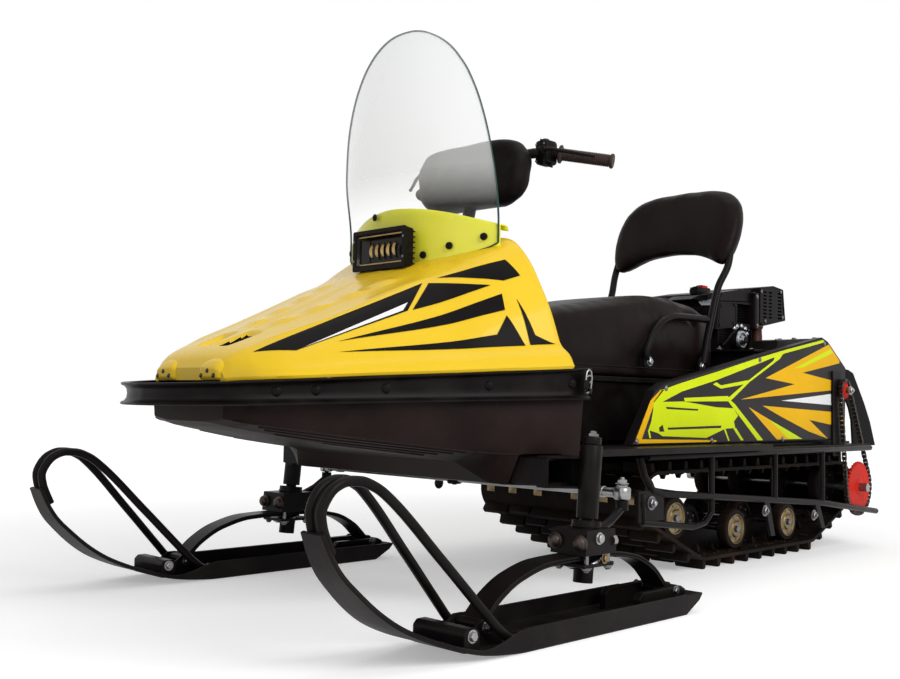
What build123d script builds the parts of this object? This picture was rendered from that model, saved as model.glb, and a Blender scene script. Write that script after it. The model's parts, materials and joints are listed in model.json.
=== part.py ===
from build123d import *
import math
import os

os.makedirs("parts", exist_ok=True)

# ---------------------------------------------------------------- sizes, mm
# Working frame: X forward, Y to the machine's left, Z up, ground at Z 0,
# X 0 at the king pins. DX moves the origin to the middle of the bounding box.
DX = 507.5

STANCE = 445.0          # half the ski stance
TRACK_W = 500.0         # belt width
TRACK_HALF = TRACK_W / 2
BELT_T = 8.0
LUG_H = 22.0
LUG_N = 34

# king pin, leaning back a little
KP_Z0, KP_Z1 = 140.0, 320.0
KP_X0, KP_X1 = -6.0, -23.0
KP_R = 20.0
KP_HOUS = 188.0             # bottom of the king-pin housing
KP_PIN_R = 12.0

# belt outline circles (lug tips)
FRONT_C = (-535.0, 178.0)
FRONT_R = 88.0
REAR_C = (-1469.0, 171.0)
REAR_R = 93.0
CONTACT_FRONT, CONTACT_REAR = -720.0, -1300.0

ROLLER_X = (-645.0, -925.0, -1200.0)
ROLLER_R = 51.0
ROLLER_INSET = 42.0     # roller centre in from the belt edge
WHEEL_INSET = 60.0
ROLLER_Y = TRACK_HALF - ROLLER_INSET
WHEEL_Y = TRACK_HALF - WHEEL_INSET
INNER_Y = 70.0

TUN = TRACK_HALF + 12.0         # tunnel side, outside
PANEL_OUT = TRACK_HALF + 35.0   # outside face of the side panels
PANEL_T = 4.0
DRV_C = (-1386.0, 447.0)       # small sprocket
RAIL_Y = TRACK_HALF + 72.0      # side rail tubes
RAIL_R = 8.0
SPR_Y = TRACK_HALF + 51.0       # sprocket plane
SPR_T = 8.0
BEAM_END = STANCE - 45.0        # open end of the cross beam
BEAM_X0, BEAM_X1 = -27.0, 49.0
BEAM_Z0, BEAM_Z1 = 245.0, 295.0
WALL = 4.0

BUMPER_REAR_X = -70.0


# ---------------------------------------------------------------- helpers
def poly_face(pts):
    return Face(Wire.make_polygon([Vector(*p) for p in pts], close=True))


def prism(pts, vec):
    return Solid.extrude(poly_face(pts), Vector(*vec))


def prism_y(xz, y0, y1):
    return prism([(x, y0, z) for x, z in xz], (0, y1 - y0, 0))


def prism_z(xy, z0, z1):
    return prism([(x, y, z0) for x, y in xy], (0, 0, z1 - z0))


def prism_x(yz, x0, x1):
    return prism([(x0, y, z) for y, z in yz], (x1 - x0, 0, 0))


def box(x0, x1, y0, y1, z0, z1):
    return Solid.make_box(abs(x1 - x0), abs(y1 - y0), abs(z1 - z0)).moved(
        Location((min(x0, x1), min(y0, y1), min(z0, z1))))


def rod(a, b, r):
    a, b = Vector(*a), Vector(*b)
    d = b - a
    return Solid.make_cylinder(r, d.length, Plane(origin=a, z_dir=d))


def ring(a, b, r, ri):
    a, b = Vector(*a), Vector(*b)
    d = (b - a).normalized()
    return rod(a, b, r) - rod(a - d, b + d, ri)


def tube_path(pts, r, bend=40.0):
    """Round bar through pts with rounded bends."""
    v = [Vector(*p) for p in pts]
    edges = []
    start = v[0]
    for i in range(1, len(v) - 1):
        a, b, c = v[i - 1], v[i], v[i + 1]
        d0, d1 = (b - a).normalized(), (c - b).normalized()
        ang = math.acos(max(-1, min(1, d0.dot(d1))))
        if ang < 0.02:
            continue
        t = bend * math.tan(ang / 2)
        t = min(t, 0.48 * (b - a).length, 0.48 * (c - b).length)
        p0, p1 = b - d0 * t, b + d1 * t
        rad = t / math.tan(ang / 2)
        n = (d1 - d0).normalized()
        centre = b + n * (rad / math.cos(ang / 2))
        mid = centre - n * rad
        if (p0 - start).length > 1e-3:
            edges.append(Edge.make_line(start, p0))
        edges.append(Edge.make_three_point_arc(p0, mid, p1))
        start = p1
    edges.append(Edge.make_line(start, v[-1]))
    path = Wire(edges)
    prof = Wire.make_circle(r, Plane(origin=v[0], z_dir=(v[1] - v[0])))
    return Solid.sweep(Face(prof), path, transition=Transition.RIGHT)


def bent(pts, r, n=None):
    """Round bar as straight runs with ball joints."""
    out = None
    for i in range(len(pts) - 1):
        s = rod(pts[i], pts[i + 1], r)
        out = s if out is None else out + s
        if i:
            out = out + Solid.make_sphere(r).moved(Location(pts[i]))
    return out


def loft_polys(sections):
    return Solid.make_loft([Wire.make_polygon([Vector(*p) for p in s], close=True)
                            for s in sections], ruled=True)


def mirror_y(s):
    return s.mirror(Plane.XZ)


def kp_x(z):
    return KP_X0 + (KP_X1 - KP_X0) * (z - KP_Z0) / (KP_Z1 - KP_Z0)


def kp(z, dy=0.0):
    return (kp_x(z), STANCE + dy, z)


NODES = {}


def put(name, shape):
    NODES[name] = shape


def fuse(*parts):
    out = parts[0]
    for p in parts[1:]:
        out = out + p
    return out


# ---------------------------------------------------------------- plan of the front
def plan_half(inset=0.0, n=6):
    """Bumper line in plan, from the rear corner round to the nose (y >= 0)."""
    pts = [(BUMPER_REAR_X, 398.0), (20, 366), (150, 319), (300, 263), (450, 208)]
    pts += [(540.0, 172.0), (580.0, 148.0), (606.0, 115.0), (626.0, 75.0), (636.0, 38.0), (640.0, 0.0)]
    out = []
    for i, p in enumerate(pts):
        a = pts[max(0, i - 1)]
        b = pts[min(len(pts) - 1, i + 1)]
        tx, ty = b[0] - a[0], b[1] - a[1]
        if i == len(pts) - 1:
            tx, ty = 0.0, -1.0
        l = math.hypot(tx, ty)
        nx, ny = -ty / l, tx / l          # outward is +normal when going forward
        if i == 0:
            out.append((p[0], p[1] - inset))
        else:
            out.append((p[0] - inset * nx, p[1] - inset * ny))
    return out


def plan_loop(inset=0.0, open_rear=True):
    h = plan_half(inset)
    return h + [(x, -y) for x, y in reversed(h[:-1])]


def slope_band(z_front0, z_rear0, z_front1, z_rear1):
    """Side-view strip between two sloping lines, across the full width."""
    return prism_y([(BUMPER_REAR_X - 60, z_rear0), (700, z_front0), (700, z_front1), (BUMPER_REAR_X - 60, z_rear1)],
                   -600, 600)


def bumper_z(x, top):
    t = (x - BUMPER_REAR_X) / (640.0 - BUMPER_REAR_X)
    return (463 + (417 - 463) * t) if top else (403 + (379 - 403) * t)


def band(outer, inner):
    a = prism_z(plan_loop(outer), 360, 480)
    b = prism_z([(x - (20 if i in (0, len(plan_loop(inner)) - 1) else 0), y)
                 for i, (x, y) in enumerate(plan_loop(inner))], 350, 490)
    return a - b


XR, XF = BUMPER_REAR_X - 60, 700.0
zt = lambda x: bumper_z(x, True)
zb = lambda x: bumper_z(x, False)
web = band(0.0, 4.0) & prism_y([(XR, zb(XR)), (XF, zb(XF)), (XF, zt(XF)), (XR, zt(XR))], -600, 600)
fl_t = band(-10.0, 4.0) & prism_y([(XR, zt(XR) - 5), (XF, zt(XF) - 5), (XF, zt(XF)), (XR, zt(XR))], -600, 600)
fl_b = band(-10.0, 4.0) & prism_y([(XR, zb(XR)), (XF, zb(XF)), (XF, zb(XF) + 5), (XR, zb(XR) + 5)], -600, 600)
put("bumper_band", fuse(web, fl_t, fl_b))


# ---------------------------------------------------------------- belly pan
def belly_sections(t):
    """(x, half-section) stations; t is the wall."""
    st = [
        (552, 114 - t, 384, 110 - t, 359 + t, 66 - t, 353 + t),
        (522, 152 - t, 385, 147 - t, 352 + t, 92 - t, 344 + t),
        (366, 228 - t, 392, 218 - t, 331 + t, 130 - t, 317 + t),
        (170, 302 - t, 397, 291 - t, 307 + t, 200 - t, 291 + t),
        (130, 317 - t, 398, 307 - t, 303 + t, 240 - t, 284 + t),
        (88, 331 - t, 399, 323 - t, 300 + t, 290 - t, 246 + t),
        (60, 341 - t, 401, 334 - t, 299 + t, 305 - t, 242 + t),
        (10, 359 - t, 402, 352 - t, 296 + t, 340 - t, 240 + t),
        (-70, 388 - t, 402, 380 - t, 300 + t, 374 - t, 240 + t),
    ]
    out = []
    for i, (x, yt, zt_, yc, zc, yb, zb_) in enumerate(st):
        xx = x
        up = 0 if t == 0 else 20
        out.append([(xx, yt, zt_ + up), (xx, yc, zc), (xx, yb, zb_), (xx, -yb, zb_), (xx, -yc, zc), (xx, -yt, zt_ + up)])
    return out


bo = belly_sections(0)
bi = belly_sections(4.0)
bi[0] = [(548, y, z) for _, y, z in bi[0]]
bi[-1] = [(-66, y, z) for _, y, z in bi[-1]]
belly = None
for i in range(len(bo) - 1):
    s = loft_polys([bo[i], bo[i + 1]])
    belly = s if belly is None else belly + s
hollow = None
for i in range(len(bi) - 1):
    s = loft_polys([bi[i], bi[i + 1]])
    hollow = s if hollow is None else hollow + s
belly = belly - hollow
# shelf ahead of the lid's nose
shelf = prism_z(plan_loop(5.0), 386, 390) & box(545, 640, -300, 300, 380, 400)
belly = belly + shelf
# room for the cross beam at both sides
belly = belly - box(BEAM_X0 - 5, BEAM_X1 + 5, -STANCE - 15, STANCE + 15, BEAM_Z0 - 1, BEAM_Z1 + 5)
belly = belly - box(-80, -60, 90, 130, 290, 335) - box(-80, -60, -130, -90, 290, 335)
belly = belly - box(-80, -60, -85, 85, 270, 420)
put("belly_pan", belly)

# ---------------------------------------------------------------- cross beam and king-pin housings
beam = (box(BEAM_X0, BEAM_X1, -BEAM_END, BEAM_END, BEAM_Z0, BEAM_Z1)
        - box(BEAM_X0 + WALL, BEAM_X1 - WALL, -BEAM_END - 1, BEAM_END + 1, BEAM_Z0 + WALL, BEAM_Z1 - WALL))
hous = ring(kp(KP_HOUS), kp(KP_Z1), KP_R, KP_PIN_R + 0.5)
plate = [(BEAM_X1 - 4, BEAM_END - 30), (BEAM_X1 - 4, BEAM_END - 4), (6, STANCE - 10), (BEAM_X0 - 4, STANCE - 10),
         (BEAM_X0 - 4, BEAM_END - 30)]
gus = fuse(prism_z(plate, BEAM_Z0 - 4, BEAM_Z0), prism_z(plate, BEAM_Z1, BEAM_Z1 + 4),
           box(BEAM_X0 - 4, BEAM_X0, BEAM_END - 30, STANCE - 12, BEAM_Z0 - 4, BEAM_Z1 + 4))
gus = gus - rod(kp(200), kp(340), KP_R - 2)
side = fuse(hous, gus)
beam = fuse(beam, side, mirror_y(side))
rails = fuse(box(-165, 20, 95, 125, 295, 330), box(-165, 20, -125, -95, 295, 330))
put("cross_beam", fuse(beam, rails))

# ---------------------------------------------------------------- frame
frame = box(-980, -160, -130, 130, 310, 450) - box(-976, -164, -126, 126, 290, 446)
tun_top = box(-1500, -160, -TUN, TUN, 297, 301)
tun_side = fuse(box(-1500, -330, TUN - 3, TUN, 288, 301), box(-1500, -330, -TUN, -TUN + 3, 288, 301))
tunnel = fuse(frame, tun_top, tun_side)
# rear box carrying the engine deck
REAR_BOX = TUN - 22.0
rear_box = box(-1440, -980, -REAR_BOX, REAR_BOX, 301, 540) - box(-1436, -984, -REAR_BOX + 4, REAR_BOX - 4, 305, 536)
tunnel = fuse(tunnel, rear_box)
tunnel = tunnel - box(-165, 20, 94, 126, 294, 331) - box(-165, 20, -126, -94, 294, 331)
tunnel = fuse(tunnel, box(-945, -250, -140, 140, 449, 461))     # seat base plate
put("main_frame", tunnel)

DECK_Z = 540.0
deck = box(-1450, -966, -TUN + 12, TUN - 12, DECK_Z, DECK_Z + 6)
# low cover beside and behind the engine
cover = fuse(prism_y([(-1445, 545), (-1445, 601), (-1325, 593), (-1325, 545)], -180, 205),
             prism_y([(-1330, 545), (-1330, 593), (-1175, 580), (-1165, 545)], 120, 205))
put("engine_deck", fuse(deck, cover))

# ---------------------------------------------------------------- side panels
panel_out = [(-375, 306.5), (-461, 428), (-500, 446), (-592, 463), (-910, 524), (-1278, 592), (-1314, 582),
             (-1425, 512), (-1419, 306.5)]
pl = prism_y(panel_out, PANEL_OUT - PANEL_T, PANEL_OUT)
panel_in = [(-385, 311), (-464, 424), (-500, 441), (-592, 458), (-910, 519), (-1277, 586), (-1311, 577), (-1420, 508), (-1414, 311)]
pl_edge = prism_y(panel_out, TUN, PANEL_OUT) - prism_y(panel_in, TUN - 2, PANEL_OUT - PANEL_T + 0.5)
pl = fuse(pl, pl_edge)
pl = pl - rod((DRV_C[0], TUN - 12, DRV_C[1]), (DRV_C[0], PANEL_OUT + 15, DRV_C[1]), 14)
put("side_panel_left", pl)
put("side_panel_right", mirror_y(pl))

# ---------------------------------------------------------------- running board with its side rail
RR = RAIL_R


def side_rail(full=True):
    board = box(-860, -105, TUN, TUN + 98, 291, 305)
    board = board - box(-850, -125, TUN + 13, TUN + 83, 288, 301)
    top = rod((-380, RAIL_Y, 284), (-1500, RAIL_Y, 284), RR)
    top_c = (box(-1500, -860, TUN, RAIL_Y, 291, 295) - box(-1560, -1290, SPR_Y - 11, SPR_Y + 12, 280, 300)
             - box(BRK_X0 - 4, BRK_X1 + 4, BRK_Y0 - 2, BRK_Y1 + 2, 280, 300))
    if full:
        low = [(-352, RAIL_Y, 284), (-368, RAIL_Y, 245), (-398, RAIL_Y, 212), (-440, RAIL_Y, 203),
               (-1200, RAIL_Y, 142), (-1540, RAIL_Y, 100)]
    else:
        low = [(-640, RAIL_Y, 284), (-640, RAIL_Y, 200), (-660, RAIL_Y, 186), (-1200, RAIL_Y, 142), (-1540, RAIL_Y, 100)]
    parts = [board, top, top_c, bent(low, RR)]
    for x, z in ((-640, 190), (-940, 163), (-1200, 142)):
        if full or x < -700:
            parts.append(rod((x, RAIL_Y, 284), (x, RAIL_Y, z), 7))
    if full:
        parts.append(bent([(-640, RAIL_Y, 190), (-640, RAIL_Y, 150), (-610, RAIL_Y, 128), (-560, RAIL_Y, 122),
                           (-365, RAIL_Y, 145), (-360, RAIL_Y, 205)], 7))
        parts.append(box(-440, -345, RAIL_Y - 3, RAIL_Y + 3, 146, 212)
                     - box(-365, -352, RAIL_Y - 22, RAIL_Y + 8, 178, 190))
    for x0, x1, z1 in ((-935, -880, 165), (-1210, -1150, 145)):
        parts.append(prism_y([(x0, 75), (x0 + 20, 75), (x1, z1), (x1 - 25, z1)], RAIL_Y - 4, RAIL_Y + 4))
    return fuse(*parts)


BRK_X0, BRK_X1 = -1380.0, -1330.0     # flat bracket outside the rear of the panel
BRK_Y0, BRK_Y1 = PANEL_OUT + 1.0, PANEL_OUT + 7.0
sr = side_rail()
put("side_rail_left", sr)
put("side_rail_right", mirror_y(side_rail(False)))


# ---------------------------------------------------------------- track
def tangent_path(circles):
    """Convex belt path round circles [(x, z, r)], clockwise in the XZ view, as points."""
    pts = []
    n = len(circles)
    segs = []
    for i in range(n):
        x0, z0, r0 = circles[i]
        x1, z1, r1 = circles[(i + 1) % n]
        dx, dz = x1 - x0, z1 - z0
        d = math.hypot(dx, dz)
        base = math.atan2(dz, dx)
        off = math.acos((r0 - r1) / d)
        a = base - off
        segs.append((a, (x0 + r0 * math.cos(a), z0 + r0 * math.sin(a)), (x1 + r1 * math.cos(a), z1 + r1 * math.sin(a))))
    for i in range(n):
        a_in = segs[i - 1][0]
        a_out = segs[i][0]
        x0, z0, r0 = circles[i]
        d = (a_out - a_in) % (2 * math.pi)
        k = max(1, int(d / math.radians(14)))
        for j in range(k + 1):
            a = a_in + d * j / k
            pts.append((x0 + r0 * math.cos(a), z0 + r0 * math.sin(a)))
    return pts


# order: front top going rearward over the rear wheel, then forward along the ground
CIRC = [(FRONT_C[0], FRONT_C[1], FRONT_R), (REAR_C[0], REAR_C[1], REAR_R),
        (CONTACT_REAR + 16, 84.0, 84.0), (CONTACT_FRONT - 16, 84.0, 84.0)]


def circ_off(d):
    return [(x, z, r - d) for x, z, r in CIRC]


def belt_points(d):
    return tangent_path(circ_off(d))


def resample(pts, n, phase=0.0):
    p = pts + [pts[0]]
    ls = [math.dist(p[i], p[i + 1]) for i in range(len(p) - 1)]
    tot = sum(ls)
    out = []
    for k in range(n):
        s = (k + phase) / n * tot
        i = 0
        while s > ls[i]:
            s -= ls[i]
            i += 1
        a, b = p[i], p[i + 1]
        t = s / ls[i]
        ang = math.atan2(b[1] - a[1], b[0] - a[0])
        out.append((a[0] + (b[0] - a[0]) * t, a[1] + (b[1] - a[1]) * t, ang))
    return out


outer = belt_points(LUG_H)
inner = belt_points(LUG_H + BELT_T)
belt = prism_y(outer, -TRACK_HALF, TRACK_HALF) - prism_y(inner, -TRACK_HALF - 1, TRACK_HALF + 1)
lug_base = resample(belt_points(LUG_H + 1.0), LUG_N, 0.35)
lugs = []
for x, z, a in lug_base:
    nx, nz = math.sin(a) * -1, math.cos(a)
    # outward normal: away from the loop's middle
    if (x - (-1000)) * nx + (z - 130) * nz < 0:
        nx, nz = -nx, -nz
    tx, tz = math.cos(a), math.sin(a)
    h = LUG_H + 1.0
    q = [(x - tx * 9, z - tz * 9), (x + tx * 9, z + tz * 9), (x + tx * 5 + nx * h, z + tz * 5 + nz * h),
         (x - tx * 5 + nx * h, z - tz * 5 + nz * h)]
    q = [(px, max(pz, 0.0)) for px, pz in q]
    lugs.append(prism_y(q, -TRACK_HALF + 6, TRACK_HALF - 6))
put("track_belt", fuse(belt, *lugs))


# ---------------------------------------------------------------- wheels in the track
def wheel(x, z, y, r, w, hub_r):
    tyre = rod((x, y - w / 2, z), (x, y + w / 2, z), r)
    return tyre


wheels = []
clear = 1.0
for i, x in enumerate(ROLLER_X):
    z = LUG_H + BELT_T + ROLLER_R + clear if i else LUG_H + BELT_T + ROLLER_R + clear + 45
    ax = rod((x, -TRACK_HALF, z), (x, TRACK_HALF, z), 8)
    ws = [wheel(x, z, y, ROLLER_R, 28, 30) for y in (-ROLLER_Y, -INNER_Y, INNER_Y, ROLLER_Y)]
    wheels.append(fuse(ax, *ws))
fi_r = FRONT_R - LUG_H - BELT_T - clear
idler = fuse(rod((FRONT_C[0], -TRACK_HALF, FRONT_C[1]), (FRONT_C[0], TRACK_HALF, FRONT_C[1]), 10),
             *[wheel(FRONT_C[0], FRONT_C[1], y, fi_r, 30, 25) for y in (-WHEEL_Y, -INNER_Y, INNER_Y, WHEEL_Y)])
AXLE_R = 12.0
ra_r = REAR_R - LUG_H - BELT_T - clear
rear_axle = fuse(rod((REAR_C[0], -TUN, REAR_C[1]), (REAR_C[0], SPR_Y + 29, REAR_C[1]), AXLE_R),
                 *[wheel(REAR_C[0], REAR_C[1], y, ra_r, 30, 25) for y in (-WHEEL_Y, -INNER_Y, INNER_Y, WHEEL_Y)])
put("roller_wheels", list(wheels))
put("front_idler", idler)
put("rear_drive_axle", rear_axle)

sk = []
for y in (-140, 132):
    sk.append(prism_y([(-740, 32), (-1270, 32), (-1270, 90), (-740, 90)], y, y + 8))
skid = fuse(*sk, rod((-800, -140, 75), (-800, 140, 75), 8), rod((-1100, -140, 75), (-1100, 140, 75), 8))
skid = skid - rod((ROLLER_X[1], -300, 82), (ROLLER_X[1], 300, 82), 9) - rod((ROLLER_X[2], -300, 82), (ROLLER_X[2], 300, 82), 9)
put("slide_rails", skid)

# ---------------------------------------------------------------- rear drive
SPR_R, DRV_R = 73.0, 24.0
spr = ring((REAR_C[0], SPR_Y - SPR_T / 2, REAR_C[1]), (REAR_C[0], SPR_Y + SPR_T / 2, REAR_C[1]), SPR_R, AXLE_R)
put("driven_sprocket", spr)
drv = fuse(rod((DRV_C[0], SPR_Y - SPR_T / 2, DRV_C[1]), (DRV_C[0], SPR_Y + SPR_T / 2, DRV_C[1]), DRV_R),
           rod((DRV_C[0], TUN, DRV_C[1]), (DRV_C[0], SPR_Y + 18, DRV_C[1]), 9))
put("drive_sprocket", drv)
ch_o = tangent_path([(DRV_C[0], DRV_C[1], DRV_R + 9), (REAR_C[0], REAR_C[1], SPR_R + 9)])
ch_i = tangent_path([(DRV_C[0], DRV_C[1], DRV_R + 1), (REAR_C[0], REAR_C[1], SPR_R + 1)])
chain = prism_y(ch_o, SPR_Y - SPR_T / 2 - 1, SPR_Y + SPR_T / 2 + 1) - prism_y(ch_i, SPR_Y - 7, SPR_Y + 7)
put("drive_chain", chain)
brk = fuse(box(BRK_X0, BRK_X1, BRK_Y0, BRK_Y1, 262, 500), box(BRK_X0, BRK_X1, TUN, BRK_Y1, 262, 272))
brk = brk - rod((DRV_C[0], TUN - 12, DRV_C[1]), (DRV_C[0], PANEL_OUT + 20, DRV_C[1]), 13)
put("chain_bracket", brk)
# a guard flap behind each side of the track
flap = prism_y([(-1428, 512), (-1482, 509), (-1514, 500), (-1551, 457), (-1589, 413), (-1630, 356), (-1665, 286), (-1512, 286),
                (-1503, 362), (-1487, 397), (-1467, 420), (-1428, 440)], TUN, TUN + 6)
put("mudflap", [flap, mirror_y(flap)])

# ---------------------------------------------------------------- seat
seat_prof = [(-120, 560), (-270, 600), (-400, 622), (-550, 648), (-680, 664), (-780, 665), (-870, 652), (-935, 626),
             (-960, 560), (-950, 462), (-300, 462), (-150, 480)]
seat = prism_y(seat_prof, -150, 150)
put("seat_cushion", seat)

# grab handles
gh = bent([(-601, 158, 501), (-597, 168, 513), (-621, 168, 562), (-664, 168, 606), (-727, 168, 619), (-822, 168, 618),
           (-869, 168, 622)], 8)
put("grab_handles", [gh, mirror_y(gh)])
HOOP_R = 9.0
HOOP = [(-849, 170, 500), (-869, 170, 569), (-897, 170, 648), (-917, 171, 704), (-953, 187, 771), (-985, 172, 860), (-997, 140, 895)]


def hoop_bar(r):
    left = bent(HOOP, r)
    x, y, z = HOOP[-1]
    return fuse(left, mirror_y(left), rod((x, -y, z), (x, y, z), r))


hoop = hoop_bar(HOOP_R)
put("backrest_frame", hoop)
PAD_X, PAD_TILT, PAD_T = -990.0, -0.36, 58.0     # middle of the pad at z 884, lean, thickness
pad = [(-168, 772), (-188, 800), (-198, 850), (-196, 900), (-180, 948), (-145, 978), (-90, 992), (0, 996), (90, 992), (145, 978),
       (180, 948), (196, 900), (198, 850), (188, 800), (168, 772), (130, 786), (70, 803), (0, 809), (-70, 803), (-130, 786)]


def pad_section(scale, dx):
    return [(PAD_X + dx + PAD_TILT * (z - 884), y * scale, 884 + (z - 884) * scale) for y, z in pad]


bp = fuse(loft_polys([pad_section(0.93, -PAD_T / 2), pad_section(1.0, -PAD_T / 4)]),
          loft_polys([pad_section(1.0, -PAD_T / 4), pad_section(1.0, PAD_T / 4)]),
          loft_polys([pad_section(1.0, PAD_T / 4), pad_section(0.93, PAD_T / 2)]))
put("backrest_pad", bp - hoop_bar(HOOP_R + 0.4))

# ---------------------------------------------------------------- engine group
EB = DECK_Z + 6
crank = prism_x([(-96, EB), (64, EB), (72, 572), (72, 612), (60, 628), (-84, 628), (-96, 612)], -1264, -1084)
crank = fuse(crank, box(-1264, -1068, -112, 88, EB, EB + 8))
crank = fuse(crank, rod((-1171, 70, 584), (-1171, 100, 584), 27), rod((-1171, 100, 584), (-1171, 112, 584), 10))
shroud = prism_y([(-1047, 608), (-1061, 686), (-1151, 692), (-1240, 697), (-1240, 620), (-1156, 620)], -104, 90)
shroud = shroud - box(-1238, -1158, 66, 95, 632, 688)
post = box(-1261, -1242, 74, 100, 622, 724)
post = fuse(post, box(-1262, -1236, 60, 96, 622, 634))
put("engine_block", fuse(crank, shroud, post))
tank = prism_y([(-1062, 688), (-1084, 714), (-1173, 729), (-1240, 734), (-1240, 699), (-1151, 694)], -146, 88)
tray = prism_y([(-1003, 691), (-1035, 704), (-1180, 719), (-1180, 697), (-1050, 690)], -46, 40)
switch = fuse(box(-1146, -1078, -14, 10, 712, 733), box(-1136, -1104, -12, 8, 733, 740))
put("fuel_tank", fuse(tank, tray, switch))
guard_out = [(-1266, 638), (-1268, 742), (-1348, 754), (-1407, 748), (-1420, 655), (-1287, 631)]
guard_in = [(-1270, 642), (-1272, 739), (-1348, 750), (-1403, 745), (-1416, 658), (-1288, 636)]
guard = prism_y(guard_out, -108, 100) - prism_y(guard_in, -104, 96)
for i in range(8):
    z = 655 + 10.5 * i
    for x0, x1 in ((-1308, -1288), (-1340, -1322), (-1398, -1376)):
        guard = guard - box(x0, x1, 90, 105, z + (x0 + 1290) * -0.02, z + 5 + (x0 + 1290) * -0.02)
muffler = rod((-1345, -90, 696), (-1345, 84, 696), 36)
guard = fuse(guard, muffler, box(-1350, -1340, -105, 97, 650, 664))
guard = fuse(guard, box(-1352, -1338, -105, 97, 660, 690))
pipe = rod((-1280, 83, EB + 2), (-1280, 83, 640), 14)
put("muffler_guard", fuse(guard, pipe, box(-1296, -1272, 70, 96, 634, 644)))

# ---------------------------------------------------------------- hood
HOOD = [
    (-29, [(398, 466), (386, 489), (364, 505), (338, 577), (287, 672), (240, 722), (0, 738)]),
    (50, [(370, 461), (356, 483), (337, 497), (314, 560), (266, 632), (222, 679), (0, 690)]),
    (100, [(348, 458), (336, 478), (320, 490), (296, 545), (252, 606), (212, 645), (0, 656)]),
    (173, [(320, 453), (308, 472), (292, 484), (265, 525), (228, 575), (190, 617), (0, 632)]),
    (353, [(252, 442), (242, 456), (232, 465), (212, 492), (190, 516), (165, 539), (0, 551)]),
    (470, [(208, 434), (200, 445), (192, 452), (174, 470), (156, 483), (134, 495), (0, 503)]),
    (515, [(170, 431), (163, 442), (156, 450), (144, 462), (130, 471), (112, 478), (0, 483)]),
    (538, [(134, 429), (130, 437), (126, 443), (121, 451), (114, 457), (100, 463), (0, 467)]),
    (552, [(112, 427), (110, 431), (108, 434), (105, 437), (101, 440), (90, 444), (0, 446)]),
]


def hood_section(x, half, t):
    pts = []
    for i, (y, z) in enumerate(half):
        yy = max(y - t, 0) if i < 6 else 0
        zz = z - (t if i == 6 or i == 5 else t * 0.7 if i > 2 else 0)
        pts.append((yy, zz))
    low = pts[0][1] - (60 if t else 0)
    sec = [(x, pts[0][0], low)] if t else []
    sec = [(x, y, z) for y, z in pts]
    if t:
        sec[0] = (x, pts[0][0], pts[0][1] - 40)
    full = sec + [(x, -y, z) for _, y, z in reversed(sec[:-1])]
    return full


def chain_loft(stations):
    s = None
    for i in range(len(stations) - 1):
        b = loft_polys([stations[i], stations[i + 1]])
        s = b if s is None else s + b
    return s


h_out = chain_loft([hood_section(x, h, 0) for x, h in HOOD])
t = 5.0
h_in_st = [hood_section(x, h, t) for x, h in HOOD]
h_in_st[0] = [(-40, y, z) for _, y, z in h_in_st[0]]
h_in_st[-1] = [(546, y, z) for _, y, z in h_in_st[-1]]
h_in = chain_loft(h_in_st)
hood = h_out - h_in
# opening behind the cowl for the steering column
hood = hood - prism_z([(-60, -200), (-60, 200), (10, 190), (60, 120), (60, -120), (10, -190)], 650, 800)

WS = dict(x0=101.0, z0=940.0, bend=8.0e-4, k=1.6e-3, foot=18.0, z_foot=900.0, rise=150.0)


def glass_x(y, z, d=0.0):
    u = min(1.0, max(0.0, (WS["z_foot"] - z) / WS["rise"]))
    return (WS["x0"] - WS["foot"] * u * u * (3 - 2 * u) - WS["bend"] * max(0.0, z - WS["z0"]) ** 2 - WS["k"] * y * y + d)


def wall(zs, half, d0, d1, n=10):
    ys = [-half + 2 * half * i / n for i in range(n + 1)]
    secs = []
    for z in zs:
        o = [(glass_x(y, z, d1), y, z) for y in ys]
        i_ = [(glass_x(y, z, d0), y, z) for y in reversed(ys)]
        secs.append(o + i_)
    return chain_loft(secs)


cowl = wall((600, 740, 765, 800), 229, -6.0, -1.0)
rim = prism_x([(-240, 741), (-226, 746), (-175, 761), (-130, 773), (-60, 785), (0, 789), (60, 785), (130, 773), (175, 761),
               (226, 746), (240, 741), (240, 900), (-240, 900)], -100, 300)
cowl = cowl - rim - h_in
put("hood_shell", fuse(hood, cowl))

GLASS_T = 4.0
half_out = [(228, 712), (228, 770), (228.5, 820), (228, 855), (225, 890), (217, 940), (201.5, 1000), (176, 1060), (155, 1092), (131, 1120),
            (95, 1147), (55, 1165), (25, 1171)]
outline = ([(-y, z) for y, z in half_out] + [(0, 1172)] + list(reversed(half_out)) + [(120, 672), (0, 662), (-120, 672)])
glass = wall((650, 750, 790, 830, 870, 900, 940, 1000, 1050, 1100, 1140, 1180), 250, 0.0, GLASS_T, 12) & prism_x(outline, -100, 300)
glass = glass - h_out
put("windshield", glass)

LAMP_HALF, LAMP_Z0, LAMP_Z1, LAMP_X = 82.0, 666.0, 746.0, 112.0
lamp = fuse(box(LAMP_X - 34, LAMP_X, -LAMP_HALF, LAMP_HALF, LAMP_Z0, LAMP_Z1), box(LAMP_X - 20, LAMP_X - 4, -30, 30, 640, LAMP_Z0 + 2))
put("headlamp", lamp - h_out - wall((600, 740, 760, 800, 900, 1000), 250, -8.0, GLASS_T + 1.0, 12))

# plate behind the lid, with the shelf under it
DASH_X = -40.0
dash_half = [(332, 405), (342, 478), (316, 540), (266, 660), (222, 708), (60, 728)]
dash = prism_x(dash_half + [(-y, z) for y, z in reversed(dash_half)], DASH_X, DASH_X + 4)
dash = fuse(dash, box(DASH_X, 20, -330, 330, 405, 409))
col_bore = rod((-17 + 0.2718 * 30, 0, 300), (-17 - 0.2718 * 240, 0, 570), 24)
put("dash_panel", dash - col_bore)

# latches at the rear corners of the bumper
lat = box(-64, -40, 410, 416, 415, 462)
put("hood_latches", list([lat, mirror_y(lat)]))

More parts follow.
